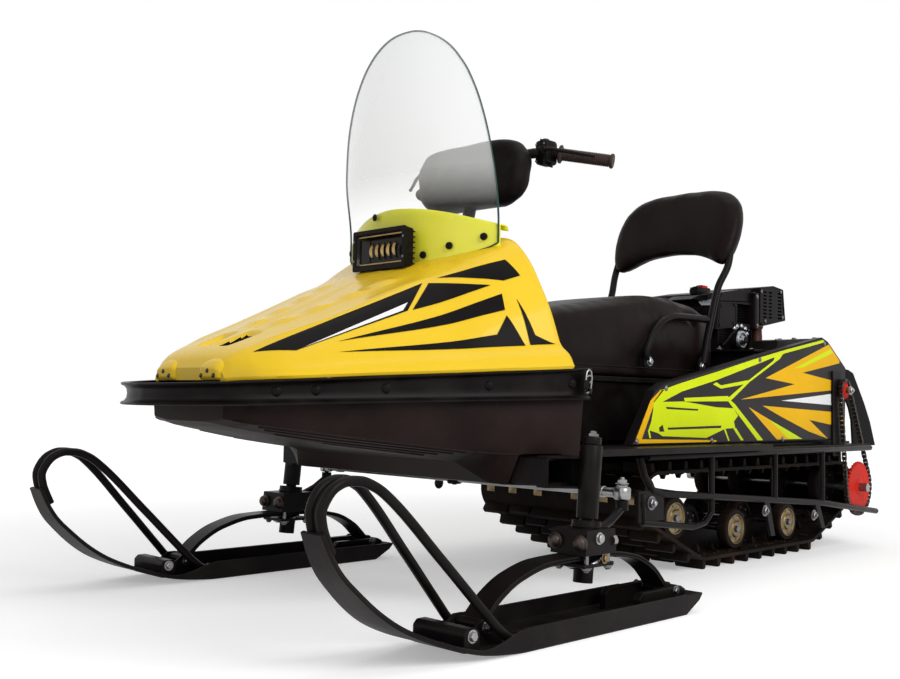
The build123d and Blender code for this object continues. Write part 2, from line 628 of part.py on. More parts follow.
# ---------------------------------------------------------------- steering column
RAKE = math.radians(15.2)
CU = (-math.sin(RAKE), 0.0, math.cos(RAKE))
FOOT = (-17.0, 0.0, 330.0)


def col(d, back=0.0, y=0.0):
    return (FOOT[0] + CU[0] * d - CU[2] * back, y, FOOT[2] + CU[2] * d + CU[0] * back)


TIE_Z = 228.0
ARM_X = -118.0
column = rod(col(0), col(630), 14)
pit = rod(col(8), (ARM_X, 0, 310), 9)
drop = rod((ARM_X, 0, 318), (ARM_X, 0, 214), 5)
put("steering_column", fuse(column, pit, drop))
BAR_R, GRIP_R = 11.0, 13.5
bar = bent([(-278, 290, 914.5), (-208, 160, 941), (-180, 112, 934), (-178, 0, 930), (-180, -112, 934), (-208, -160, 941),
            (-278, -290, 914.5)], BAR_R)
bar = bar - rod(col(500), col(700), 14)
gr = rod((-226, 194, 934.2), (-282, 297, 913), GRIP_R)
put("grips", [gr, mirror_y(gr)])
swb = box(-238, -194, 146, 186, 908, 968)
put("switch_housings", [swb - gr, mirror_y(swb - gr)])
put("handlebar", bar - gr - mirror_y(gr) - swb - mirror_y(swb))
pad_yz = [(-105, 818), (-150, 842), (-166, 875), (-172, 905), (-166, 936), (-148, 958), (-118, 970), (-70, 975), (70, 975), (118, 970),
          (148, 958), (166, 936), (172, 905), (166, 875), (150, 842), (105, 818)]


def pad_cut(x, k):
    return [(x, y * k, 900 + (z - 900) * (1 + (k - 1) * 0.6)) for y, z in pad_yz]


hp = fuse(loft_polys([pad_cut(-188, 0.88), pad_cut(-158, 1.0)]), loft_polys([pad_cut(-158, 1.0), pad_cut(-122, 0.84)]))
hp = hp - prism_x([(y * 0.78, 900 + (z - 900) * 0.86) for y, z in pad_yz], -195, -132)
hp = hp - rod(col(400), col(700), 15) - box(-196, -150, -200, 200, 915, 958)
put("handlebar_pad", hp)


# ---------------------------------------------------------------- skis
SKI_HALF = 80.0
LOOP_R = 8.0


def ski_side():
    # spindle: pin in the housing, cap, clamp block, steering arm, stub
    pin = rod(kp(78), kp(336), KP_PIN_R)
    cap = rod(kp(322), kp(332), 17)
    stack = rod(kp(170), kp(184), 27)
    clamp = prism_y([(-46, 128), (44, 128), (40, 172), (-42, 172)], STANCE - 40, STANCE + 40)
    clamp = fuse(clamp, rod((40, STANCE - 28, 150), (53, STANCE - 28, 150), 11), rod((40, STANCE + 28, 150), (53, STANCE + 28, 150), 11))
    stub = fuse(rod(kp(74), kp(130), 18), box(-44, 42, STANCE - 36, STANCE + 36, 106, 112))
    arm = bent([(-30, STANCE, 158), (-80, STANCE, 178), (ARM_X, STANCE, 202)], 8)
    knuck = rod((ARM_X, STANCE, 196), (ARM_X, STANCE, 214), 12)
    studp = rod((ARM_X, STANCE, 200), (ARM_X, STANCE, 246), 5)
    sp = fuse(pin, cap, stack, clamp, stub, arm, knuck, studp)
    # leaf spring
    lf_t = [(290, 44), (250, 80), (196, 108), (120, 125), (42, 127.5), (-46, 127.5), (-130, 116), (-190, 89), (-236, 48)]
    lf_b = [(x, z - 9) for x, z in reversed(lf_t)]
    leaf = prism_y(lf_t + lf_b, STANCE - 25, STANCE + 25)
    leaf = leaf - rod(kp(60), kp(140), 18.5)
    # ski
    bot = [(-218, 0), (240, 0), (290, 3), (340, 9), (386, 20), (430, 35), (482, 58), (522, 84), (560, 117), (588, 146),
           (606, 175), (620, 206)]
    tt = 6.0
    up = []
    for i, (x, z) in enumerate(bot):
        a = bot[max(0, i - 1)]
        b = bot[min(len(bot) - 1, i + 1)]
        l = math.hypot(b[0] - a[0], b[1] - a[1])
        nx, nz = -(b[1] - a[1]) / l, (b[0] - a[0]) / l
        up.append((x + nx * tt, z + nz * tt))
    sheet = prism_y(bot + list(reversed(up)), -90, 90)
    plan = [(-300, SKI_HALF), (300, SKI_HALF), (345, 78), (386, 69), (430, 60), (482, 50), (522, 43), (560, 37), (588, 32),
            (606, 28), (640, 25)]
    plan = plan + [(x, -w) for x, w in reversed(plan)]
    sheet = sheet & prism_z(plan, -10, 300)
    wl = prism_y([(-218, 0), (-273, 37), (240, 37), (310, 30), (350, 24), (300, 4), (250, 0)], SKI_HALF - 5, SKI_HALF)
    ski = fuse(sheet, wl, mirror_y(wl), box(-230, 260, -12, 12, 0, 9))
    ski = fuse(ski, box(268, 300, -30, 30, 5, 40) - box(260, 310, -25.5, 25.5, 8, 60))
    ski = fuse(ski, box(-266, -112, -46, 46, 5, 47) - box(-280, -100, -30, 30, 9, 60))
    ski = fuse(ski, prism_y([(330, 8), (366, 12), (366, 40), (358, 48), (338, 48), (330, 40)], -58, 58))
    ski = ski.moved(Location((0, STANCE, 0)))
    # loop of two bars
    pa = [(592, 12, 177), (602.5, 12, 199), (609, 12, 216), (612, 12, 234), (604, 13, 255), (587, 14, 272), (565, 15, 279), (545, 17, 278),
          (520, 21, 269), (500, 25, 255), (400, 40, 155), (310, 53, 62), (290, 56, 42), (262, 58, 22), (231, 58, 13)]
    lb = bent([(x, STANCE + y, z) for x, y, z in pa], LOOP_R)
    lb2 = bent([(x, STANCE - y, z) for x, y, z in pa], LOOP_R)
    loop = fuse(lb, lb2, rod((565, STANCE - 15, 279), (565, STANCE + 15, 279), 5))
    loop = loop - ski
    return sp, leaf, ski, loop


sp, leaf, ski, loop = ski_side()
leaf = leaf - sp
leaf = leaf - ski
for nm, s in (("spindle", sp), ("leaf_spring", leaf), ("ski", ski), ("ski_loop", loop)):
    put(nm + "_left", s)
    put(nm + "_right", mirror_y(s))

tie = fuse(rod((ARM_X, -STANCE, TIE_Z), (ARM_X, STANCE, TIE_Z), 8),
           rod((ARM_X, STANCE, 219), (ARM_X, STANCE, 237), 15), rod((ARM_X, -STANCE, 219), (ARM_X, -STANCE, 237), 15),
           rod((ARM_X, 0, 219), (ARM_X, 0, 237), 16))
for y, r in ((STANCE, 6.0), (-STANCE, 9.0), (0.0, 10.0)):
    tie = tie - rod((ARM_X, y, 200), (ARM_X, y, 260), r)
put("tie_rod", tie)

# ---------------------------------------------------------------- write
lo = [1e9] * 3
hi = [-1e9] * 3
for name, s in NODES.items():
    if isinstance(s, list):
        s = Compound(children=[p.moved(Location((DX, 0, 0))) for p in s])
    else:
        s = s.moved(Location((DX, 0, 0)))
    bb = s.bounding_box()
    for i, (a, b) in enumerate(zip(bb.min, bb.max)):
        lo[i] = min(lo[i], a)
        hi[i] = max(hi[i], b)
    export_step(s, f"parts/{name}.step")
print("nodes", len(NODES), "box", [round(v, 2) for v in lo], [round(v, 2) for v in hi], "centre x", round((lo[0] + hi[0]) / 2, 3))
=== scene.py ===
import bpy, bmesh, math, json
import numpy as np
from mathutils import Vector, Matrix
from mathutils.bvhtree import BVHTree


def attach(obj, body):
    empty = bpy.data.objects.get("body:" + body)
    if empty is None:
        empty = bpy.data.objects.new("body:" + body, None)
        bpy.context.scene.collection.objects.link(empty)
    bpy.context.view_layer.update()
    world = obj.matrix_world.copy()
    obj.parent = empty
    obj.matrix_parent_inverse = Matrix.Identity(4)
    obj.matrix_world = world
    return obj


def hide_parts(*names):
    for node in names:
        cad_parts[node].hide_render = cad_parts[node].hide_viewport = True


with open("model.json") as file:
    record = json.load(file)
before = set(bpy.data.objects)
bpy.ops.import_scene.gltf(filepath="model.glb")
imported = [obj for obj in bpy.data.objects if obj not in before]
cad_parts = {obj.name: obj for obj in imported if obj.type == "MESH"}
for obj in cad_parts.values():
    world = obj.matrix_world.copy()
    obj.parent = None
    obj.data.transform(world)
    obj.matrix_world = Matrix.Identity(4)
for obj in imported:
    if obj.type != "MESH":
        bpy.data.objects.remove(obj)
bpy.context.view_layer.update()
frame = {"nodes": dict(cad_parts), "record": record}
DX = 507.5          # the CAD's working frame to the part's, mm


def W(p):
    """working frame in mm to the part's frame in m"""
    return ((p[0] + DX) / 1000, p[1] / 1000, p[2] / 1000)


# ------------------------------------------------------------ materials
MATS = {}


def nd(nt, typ, *feeds, **kw):
    """a node; feeds are (socket, output) links, kw sets inputs (spaces as _) or attributes"""
    n = nt.nodes.new(typ)
    for k, v in kw.items():
        if k.replace("_", " ") in n.inputs:
            n.inputs[k.replace("_", " ")].default_value = v
        else:
            setattr(n, k, v)
    for socket, out in feeds:
        nt.links.new(out, n.inputs[socket])
    return n


def ramp(nt, fac, stops):
    r = nt.nodes.new("ShaderNodeValToRGB")
    for e, (p, c) in zip(r.color_ramp.elements, stops):
        e.position = p
        e.color = (*c, 1)
    nt.links.new(fac, r.inputs[0])
    return r.outputs[0]


def mixed(nt, fac, under, over):
    """the colour over laid on the output under"""
    mx = nd(nt, "ShaderNodeMix", data_type="RGBA")
    nt.links.new(fac, mx.inputs["Factor"])
    nt.links.new(under, mx.inputs[6])
    mx.inputs[7].default_value = (*over, 1)
    return mx.outputs[2]


def new_material(name):
    m = MATS[name] = bpy.data.materials.new(name)
    m.use_nodes = True
    return m, m.node_tree, m.node_tree.nodes["Principled BSDF"]


def material(name, col, rough=.5, metal=0.0, var=.12, scale=18.0, bump=.15, bscale=220.0, bdist=.0006,
             wear=0.0, wear_col=None, coat=0.0, coat_rough=.1, rvar=.12, spec=None, dirt=0.0, dirt_col=None):
    """mottled paint, plastic, rubber or metal, with worn edges and dirt where asked for;
    var and rvar are how far colour and roughness wander, scale and bscale the size of mottle and grain"""
    _, nt, b = new_material(name)
    obj = nd(nt, "ShaderNodeTexCoord").outputs["Object"]
    mottle = nd(nt, "ShaderNodeTexNoise", ("Vector", obj), Scale=scale, Detail=6.0).outputs["Fac"]
    lo = tuple(max(0, c * (1 - var)) for c in col)
    hi = tuple(min(1, c * (1 + var) + .004) for c in col)
    c_out = ramp(nt, mottle, [(.3, lo), (.7, hi)])
    if wear:
        rub = nd(nt, "ShaderNodeTexNoise", ("Vector", obj), Scale=60.0, Detail=8.0).outputs["Fac"]
        geo = nd(nt, "ShaderNodeNewGeometry")
        edge = ramp(nt, geo.outputs["Pointiness"], [(.52, (0, 0, 0)), (.60, (1, 1, 1))])
        fac = nd(nt, "ShaderNodeMath", (0, edge), (1, rub), operation="MULTIPLY").outputs[0]
        fac = nd(nt, "ShaderNodeMath", (0, fac), operation="MULTIPLY")
        fac.inputs[1].default_value = wear
        c_out = mixed(nt, fac.outputs[0], c_out, wear_col)
    if dirt:
        n = nd(nt, "ShaderNodeTexNoise", ("Vector", obj), Scale=7.0, Detail=10.0, Roughness=.7)
        fac = ramp(nt, n.outputs["Fac"], [(.45, (0, 0, 0)), (.75, (dirt, dirt, dirt))])
        c_out = mixed(nt, fac, c_out, dirt_col)
    nt.links.new(c_out, b.inputs["Base Color"])
    r_out = nd(nt, "ShaderNodeMapRange", ("Value", mottle), To_Min=max(.02, rough - rvar),
               To_Max=min(1, rough + rvar))
    nt.links.new(r_out.outputs[0], b.inputs["Roughness"])
    if bump:
        grain = nd(nt, "ShaderNodeTexNoise", ("Vector", obj), Scale=bscale, Detail=4.0).outputs["Fac"]
        bp = nd(nt, "ShaderNodeBump", ("Height", grain), Strength=bump, Distance=bdist)
        nt.links.new(bp.outputs[0], b.inputs["Normal"])
    b.inputs["Metallic"].default_value = metal
    if coat:
        b.inputs["Coat Weight"].default_value = coat
        b.inputs["Coat Roughness"].default_value = coat_rough
    if spec is not None:
        b.inputs["Specular IOR Level"].default_value = spec


material("black_satin", (.0044, .0028, .0027), .36, var=.25, bump=.12, bscale=420, wear=.06,
         wear_col=(.07, .06, .055), spec=.07, dirt=.08, dirt_col=(.022, .016, .013))
material("belly_plastic", (.0135, .0070, .0064), .5, var=.3, scale=7, bump=.3, bscale=500, dirt=.3,
         dirt_col=(.024, .014, .012), spec=.07)
material("black_plastic", (.0042, .0028, .0027), .42, var=.2, bump=.3, bscale=600, spec=.07)
material("track_rubber", (.0060, .0042, .0038), .62, spec=.06, var=.3, bump=.4, bscale=300, dirt=.4,
         dirt_col=(.060, .030, .015))
material("flap_rubber", (.0055, .0045, .0045), .65, spec=.05, var=.25, bump=.35, bscale=260)
material("zinc_gold", (.24, .175, .085), .40, 1.0, var=.25, scale=30, bump=.2, wear=.2, wear_col=(.6, .54, .44),
         dirt=.3, dirt_col=(.07, .045, .025))
material("steel", (.30, .30, .30), .30, 1.0, var=.15, bump=.15, bscale=300)
material("bolt_steel", (.17, .165, .165), .34, 1.0, var=.2, scale=60, bump=.1)
material("chain_steel", (.05, .038, .032), .45, .9, var=.3, bump=.3)
material("red_paint", (.60, .020, .008), .42, var=.12, scale=25, bump=.1, spec=.06)
material("seat_vinyl", (.0076, .0036, .0035), .42, var=.15, scale=9, bump=.5, bscale=520, bdist=.0004, spec=.06)
material("engine_black", (.0034, .0021, .0020), .38, spec=.06, var=.25, bump=.3, bscale=350, dirt=.15,
         dirt_col=(.02, .014, .012))
material("grip_rubber", (.030, .016, .013), .62, var=.2, bump=.3, spec=.25)
material("pad_fabric", (.0060, .0038, .0038), .5, var=.2, bump=.5, bscale=420, spec=.06)
material("ski_plastic", (.0065, .0045, .0045), .46, spec=.08, var=.3, scale=12, bump=.3, bscale=400, dirt=.3,
         dirt_col=(.045, .034, .030))
material("hood_yellow", (.78, .515, .016), .27, var=.035, scale=4, bump=.04, bscale=60, bdist=.0015, coat=.12,
         coat_rough=.06, rvar=.04, spec=.12)
material("cowl_lime", (.74, .72, .004), .3, var=.04, scale=5, bump=.05, coat=.2, rvar=.04, spec=.3)
material("panel_yellow", (.76, .49, .005), .35, var=.04, scale=6, bump=.05, rvar=.04, spec=.06)
material("decal_black", (.0045, .0035, .0033), .38, var=.25, scale=5, bump=.05, spec=.05)
material("decal_grey", (.026, .023, .023), .4, var=.2, scale=8, bump=.05, spec=.06)
material("decal_lime", (.62, .74, .003), .35, var=.08, scale=6, bump=.04, spec=.06)
material("decal_orange", (.80, .44, .002), .35, var=.05, scale=6, bump=.04, spec=.05)
material("decal_white", (.80, .80, .80), .35, var=.05, scale=8, bump=.04, spec=.2)
material("lens_dark", (.008, .007, .006), .14, var=.1, bump=.0, coat=.12, coat_rough=.05, spec=.1)
material("led_gold", (.26, .18, .075), .3, .9, var=.2, scale=40, bump=.1)
# near black, used as painted shade inside holes, slots and recesses, and for the seam between the clamp halves
material("dark_hole", (.002, .002, .002), .9, var=.1, bump=.1, spec=.05)
material("edge_green", (.012, .045, .038), .5, var=.1, bump=.0, spec=.2)
material("alu", (.36, .37, .39), .32, 1.0, var=.12, scale=30, bump=.2, bscale=260)
material("pipe_rust", (.060, .022, .016), .5, .6, var=.35, scale=26, bump=.3)


def glass_material(fade=(.79, .87), thin=.02, dense=.30):
    """a white sheet that paints a reflection on the glass: clear below and denser above, the alpha growing over the
    heights fade, m
    """
    _, nt, b = new_material("clear_glass")
    b.inputs["Base Color"].default_value = (.90, .92, .92, 1)
    obj = nd(nt, "ShaderNodeTexCoord").outputs["Object"]
    sep = nd(nt, "ShaderNodeSeparateXYZ", (0, obj))
    n = nd(nt, "ShaderNodeTexNoise", ("Vector", obj), Scale=3.0, Detail=3.0)
    # painted reflection: the white sheet grows more opaque with height, with a little random blotching
    reflection_haze = nd(nt, "ShaderNodeMapRange", ("Value", sep.outputs["Z"]), From_Min=fade[0], From_Max=fade[1],
              To_Min=thin, To_Max=dense)
    blotch = nd(nt, "ShaderNodeMapRange", ("Value", n.outputs["Fac"]), To_Min=.8, To_Max=1.2)
    mu = nd(nt, "ShaderNodeMath", (0, reflection_haze.outputs[0]), (1, blotch.outputs[0]), operation="MULTIPLY")
    nt.links.new(mu.outputs[0], b.inputs["Alpha"])
    b.inputs["Roughness"].default_value = .06
    b.inputs["IOR"].default_value = 1.3


glass_material()

# every CAD node that stays gets its finish, and soft edges
for part in frame["record"]["subparts"]:
    o = frame["nodes"].get(part["node"])
    o.data.materials.clear()
    o.data.materials.append(MATS[part["material_slot"]])
    o.modifiers.new("weld", "WELD").merge_threshold = 2e-5
    bv = o.modifiers.new("bevel", "BEVEL")
    bv.width = .0012
    bv.segments = 2
    bv.limit_method = "ANGLE"
    bv.angle_limit = math.radians(40)
    bv.use_clamp_overlap = True


# ------------------------------------------------------------ mesh building
def unit(v):
    return v / (np.linalg.norm(v) or 1)


def ring(n):
    """n angles once round"""
    return np.linspace(0, 2 * math.pi, n, endpoint=False)


class B:
    """Collects faces in mm with a material each, and makes one object."""

    def __init__(self):
        self.v, self.f, self.m, self.s, self.names = [], [], [], [], []

    def add(self, verts, faces, mat, smooth=True):
        if mat not in self.names:
            self.names.append(mat)
        k = len(self.v)
        self.v += [tuple(p) for p in verts]
        self.f += [[k + a for a in f] for f in faces]
        self.m += [self.names.index(mat)] * len(faces)
        self.s += [smooth] * len(faces)

    def add_bm(self, bm, mat, smooth):
        bm.verts.ensure_lookup_table()
        bm.verts.index_update()
        self.add([v.co[:] for v in bm.verts], [[v.index for v in f.verts] for f in bm.faces], mat, smooth)
        bm.free()

    def grid(self, rows, mat, closed_u=False, closed_v=False, smooth=True, cap0=False, cap1=False):
        """skin over rows of points; closed_u joins last row to first, closed_v each row's end to its start"""
        n, k = len(rows), len(rows[0])
        faces = []
        for i in range(n if closed_u else n - 1):
            for j in range(k if closed_v else k - 1):
                i2, j2 = (i + 1) % n, (j + 1) % k
                faces.append([i * k + j, i * k + j2, i2 * k + j2, i2 * k + j])
        self.add([p for r in rows for p in r], faces, mat, smooth)
        if cap0:
            self.add(rows[0], [list(range(k))[::-1]], mat, False)
        if cap1:
            self.add(rows[-1], [list(range(k))], mat, False)

    def solid(self, rows, mat, **kw):
        """closed sections in a row, capped at both ends"""
        self.grid(rows, mat, closed_v=True, cap0=True, cap1=True, **kw)

    def tube(self, pts, r, mat, n=14, closed=False):
        """round bar along pts; r is one radius or one for each point"""
        P = [np.array(p, float) for p in pts]
        m = len(P)
        rows = []
        up = None
        for i in range(m):
            t = unit(P[(i + 1) % m] - P[i - 1] if closed else P[min(i + 1, m - 1)] - P[max(i - 1, 0)])
            if up is None:
                up = np.array([0, 0, 1.0] if abs(t[2]) < .9 else [0, 1.0, 0])
            a = unit(np.cross(t, up))
            up = np.cross(a, t)
            rr = r[i] if hasattr(r, "__len__") else r
            rows.append([P[i] + rr * (math.cos(q) * a + math.sin(q) * up) for q in ring(n)])
        self.grid(rows, mat, closed_u=closed, closed_v=True, cap0=not closed, cap1=not closed)

    def lathe(self, a, d, prof, mat, n=28, smooth=True, caps=True):
        """turned form from a along d; prof [(distance along in mm, radius)]"""
        a, d = np.array(a, float), unit(np.array(d, float))
        u = unit(np.cross(d, [0, 0, 1.0] if abs(d[2]) < .9 else [0, 1.0, 0]))
        w = np.cross(d, u)
        rows = [[a + d * s + max(r, .01) * (math.cos(q) * u + math.sin(q) * w) for q in ring(n)] for s, r in prof]
        self.grid(rows, mat, closed_v=True, cap0=caps, cap1=caps, smooth=smooth)

    def bolt(self, p, d, r=6.0, h=5.0, mat="bolt_steel", washer=True, nut=False):
        p, d = np.array(p, float), unit(np.array(d, float))
        if washer:
            self.lathe(p - d * .5, d, [(0, r * 1.55), (1.6, r * 1.55), (1.9, r * 1.45)], mat, 20)
        self.lathe(p, d, [(0, r * 1.1), (h * .8, r * 1.1), (h, r * .92)], mat, 6, smooth=False)
        if nut:
            self.lathe(p, d, [(h, r * .55), (h + 3, r * .55), (h + 4, r * .4)], mat, 10)

    def box(self, x0, x1, y0, y1, z0, z1, mat, r=1.5):
        """rounded block"""
        bm = bmesh.new()
        bmesh.ops.create_cube(bm, size=1)
        mid = Vector((x0 + x1, y0 + y1, z0 + z1)) / 2
        size = Vector((x1 - x0, y1 - y0, z1 - z0))
        for v in bm.verts:
            v.co = mid + v.co * size
        r = min(r, .45 * min(abs(e) for e in size))
        bmesh.ops.bevel(bm, geom=bm.edges[:], offset=r, segments=2, profile=.5, affect="EDGES")
        self.add_bm(bm, mat, True)

    def prism(self, poly, a, b, mat, r=0.0):
        """poly: 3-D ring; extruded from +a to +b vectors, edges rounded"""
        bm = bmesh.new()
        lo, hi = [[bm.verts.new(Vector(p) + Vector(e)) for p in poly] for e in (a, b)]
        bm.faces.new(lo[::-1])
        bm.faces.new(hi)
        for i in range(len(poly)):
            bm.faces.new([lo[i - 1], lo[i], hi[i], hi[i - 1]])
        bmesh.ops.recalc_face_normals(bm, faces=bm.faces[:])
        if r:
            es = [e for e in bm.edges if e.calc_face_angle(0) > .5]
            bmesh.ops.bevel(bm, geom=es, offset=r, segments=2, profile=.5, affect="EDGES")
        self.add_bm(bm, mat, False)

    def mirror(self):
        """copy of everything so far across the centre plane"""
        k = len(self.v)
        self.v += [(x, -y, z) for x, y, z in self.v]
        self.f += [[k + a for a in f][::-1] for f in self.f]
        self.m *= 2
        self.s *= 2

    def obj(self, name, body, replaces=(), slot=None, weld=.02, solid=None, angle=38):
        """one piece on its CAD body; weld and solid (skin thickness) in mm, edges sharp above angle"""
        me = bpy.data.meshes.new(name)
        me.from_pydata([W(p) for p in self.v], [], self.f)
        for n in self.names:
            me.materials.append(MATS[n])
        me.polygons.foreach_set("material_index", self.m)
        me.polygons.foreach_set("use_smooth", self.s)
        bm = bmesh.new()
        bm.from_mesh(me)
        if weld:
            bmesh.ops.remove_doubles(bm, verts=bm.verts[:], dist=weld / 1000)
        bmesh.ops.recalc_face_normals(bm, faces=bm.faces[:])
        for e in bm.edges:
            if len(e.link_faces) == 2 and e.calc_face_angle(0) > math.radians(angle):
                e.smooth = False
        bm.to_mesh(me)
        bm.free()
        o = bpy.data.objects.new(name, me)
        bpy.context.collection.objects.link(o)
        if solid:
            md = o.modifiers.new("solid", "SOLIDIFY")
            md.thickness = solid / 1000
            md.offset = -1
        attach(o, body)
        if replaces:
            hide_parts(*replaces)
        return o


def rounded(pts, rad, seg=6, closed=False):
    """polyline with its corners rounded"""
    P = [np.array(p, float) for p in pts]
    out = []
    n = len(P)
    for i in range(n):
        if not closed and i in (0, n - 1):
            out.append(P[i])
            continue
        a, b, c = P[i - 1], P[i], P[(i + 1) % n]
        la, lc = np.linalg.norm(a - b), np.linalg.norm(c - b)
        r = rad[i] if hasattr(rad, "__len__") else rad
        t = min(r, .45 * la, .45 * lc)
        p0, p1 = b + (a - b) / la * t, b + (c - b) / lc * t
        for u in np.arange(seg + 1) / seg:
            out.append((1 - u) ** 2 * p0 + 2 * u * (1 - u) * b + u * u * p1)
    return out


def pchip(x, y, t):
    """smooth curve through y at x, without overshoot"""
    x, y, t = np.array(x, float), np.array(y, float), np.atleast_1d(np.array(t, float))
    h = np.diff(x)
    s = np.diff(y) / h
    m = np.zeros(len(x))
    both = s[:-1] + s[1:]
    m[1:-1] = np.where(s[:-1] * s[1:] > 0, 2 * s[:-1] * s[1:] / np.where(np.abs(both) < 1e-12, 1, both), 0)
    m[0], m[-1] = s[0], s[-1]
    i = np.clip(np.searchsorted(x, t, side="right") - 1, 0, len(x) - 2)
    u = (t - x[i]) / h[i]
    return ((2 * u ** 3 - 3 * u ** 2 + 1) * y[i] + (u ** 3 - 2 * u ** 2 + u) * h[i] * m[i]
            + (-2 * u ** 3 + 3 * u ** 2) * y[i + 1] + (u ** 3 - u ** 2) * h[i] * m[i + 1])


def spline(pts, n):
    """n points on a smooth curve through pts"""
    P = np.array(pts, float)
    d = np.r_[0, np.cumsum(np.linalg.norm(np.diff(P, axis=0), axis=1))]
    return np.stack([pchip(d, P[:, k], np.linspace(0, d[-1], n)) for k in range(P.shape[1])], 1)


def along(pts):
    """each point of a plane path with its unit tangent"""
    for i, p in enumerate(pts):
        a, c = pts[max(0, i - 1)], pts[min(len(pts) - 1, i + 1)]
        l = math.hypot(c[0] - a[0], c[1] - a[1])
        yield p, (c[0] - a[0]) / l, (c[1] - a[1]) / l


def smooth01(v, a, b):
    t = min(1, max(0, (v - a) / (b - a)))
    return t * t * (3 - 2 * t)


X1, Y1, Z1 = (1, 0, 0), (0, 1, 0), (0, 0, 1)


# ------------------------------------------------------------ hood, cowl, glass, lamp
# half sections of the hood (y, z), from the rim in to the middle
HOOD = [
    (-29, [(398, 466), (386, 489), (364, 505), (338, 577), (287, 672), (240, 722), (0, 738)]),
    (50, [(370, 461), (356, 483), (337, 497), (314, 560), (266, 632), (222, 679), (0, 690)]),
    (100, [(348, 458), (336, 478), (320, 490), (296, 545), (252, 606), (212, 648), (0, 667)]),
    (173, [(320, 453), (308, 472), (292, 484), (265, 525), (228, 575), (190, 617), (0, 632)]),
    (353, [(252, 442), (242, 456), (232, 465), (212, 492), (190, 516), (165, 539), (0, 551)]),
    (470, [(208, 434), (200, 445), (192, 452), (174, 470), (156, 483), (134, 495), (0, 503)]),
    (515, [(170, 431), (163, 442), (156, 450), (144, 462), (130, 471), (112, 478), (0, 483)]),
    (538, [(134, 429), (130, 437), (126, 443), (121, 451), (114, 457), (100, 463), (0, 467)]),
    (552, [(112, 427), (110, 431), (108, 434), (105, 437), (101, 440), (90, 444), (0, 446)]),
]


GLASS_X, GLASS_RAKE, GLASS_FOOT = 101, 18, (750, 900)     # front of the screen; how far it steps back, and where
GLASS_TOP, TOP_CURL, SIDE_CURL = 940, 8e-4, 1.6e-3          # it curls back above GLASS_TOP and to the sides


def glass_x(y, z, d=0.0):
    """x of the screen's inner face at y and z, and d in front of it"""
    u = min(1.0, max(0.0, (GLASS_FOOT[1] - z) / (GLASS_FOOT[1] - GLASS_FOOT[0])))
    return GLASS_X - GLASS_RAKE * u * u * (3 - 2 * u) - TOP_CURL * max(0.0, z - GLASS_TOP) ** 2 - SIDE_CURL * y * y + d


def hood_grid(nx=150, nu=84):
    """dense half surface of the hood, corners rounded; rows along x"""
    xs0 = [s[0] for s in HOOD]
    rows = []
    for i in range(nx):
        x = xs0[0] + (xs0[-1] - xs0[0]) * (i / (nx - 1)) ** .9
        sec = [tuple(float(pchip(xs0, [s[1][k][e] for s in HOOD], x)[0]) for e in (0, 1)) for k in range(7)]
        # the top panel is a little crowned
        (y5, z5), z6 = sec[5], sec[6][1]
        sec = sec[:6] + [(y5 * .72, z5 + (z6 - z5) * .55), (y5 * .38, z5 + (z6 - z5) * .88), (0, z6), (-30, z6)]
        f = min(1, y5 / 200)
        radii = [0, 10 * f, 14 * f, 30 * f, 30 * f, 26 * f, 20, 20, 10, 0]
        q = np.array(rounded([(x, y, z) for y, z in sec], radii, 7))
        q = q[q[:, 1] >= -1e-6]
        d = np.r_[0, np.cumsum(np.linalg.norm(np.diff(q[:, 1:], axis=0), axis=1))]
        t = np.linspace(0, 1, nu) * d[-1]
        rows.append([(x, float(y), float(z)) for y, z in zip(np.interp(t, d, q[:, 1]), np.interp(t, d, q[:, 2]))])
    return rows


def hump(x, y, x0, x1, y0, y1, soft):
    """1 inside a rounded rectangle, 0 outside"""
    dx = max(x0 + soft - x, x - x1 + soft, 0) / soft
    dy = max(y0 + soft - y, y - y1 + soft, 0) / soft
    return 1 - smooth01(math.hypot(dx, dy), 0, 1)


def between(v, a, b, c, d):
    """rises from a to b, stays 1, falls from c to d"""
    return smooth01(v, a, b) * (1 - smooth01(v, c, d))


# half width of the top panel along the hood
TOP_X, TOP_Y = [-29, 50, 100, 173, 353, 470, 515, 552], [240, 222, 212, 190, 165, 134, 112, 90]
# the second number is the depth below which the slot's floor is coloured near black, as painted shade
SLOT_DEPTH, PAINTED_SHADE_BELOW = 9, -5.5        # the dark slot in the top
OPEN_HALF, OPEN_Z = 198, 640            # the opening behind the cowl


def hood_relief(x, y):
    """height added along z by the forms pressed into the lid"""
    ay = abs(y)
    dz = 0.0
    half = float(np.interp(x, TOP_X, TOP_Y))
    if ay < half:
        # a raised row with soft swellings on each side, and a shallow valley between
        yc = 38 + (400 - x) * .27
        row = (1 - smooth01(abs(ay - yc), 8, 30)) * between(x, 120, 190, 410, 450)
        dz += row * (2.0 + 3.6 * (.5 + .5 * math.cos((x - 252) / 67 * 2 * math.pi)))
        dz -= 3 * (1 - smooth01(ay, 0, 24)) * between(x, 160, 220, 380, 440)
        dz += 3.5 * between(ay, half * .72, half * .9, half * .93, half) * between(x, 120, 200, 440, 500)
    slot = hump(x, y, 436, 510, 4, 66, 14) * (1 - smooth01(abs((y - 35) - (x - 473) * -.25), 16, 30))
    return dz - SLOT_DEPTH * slot


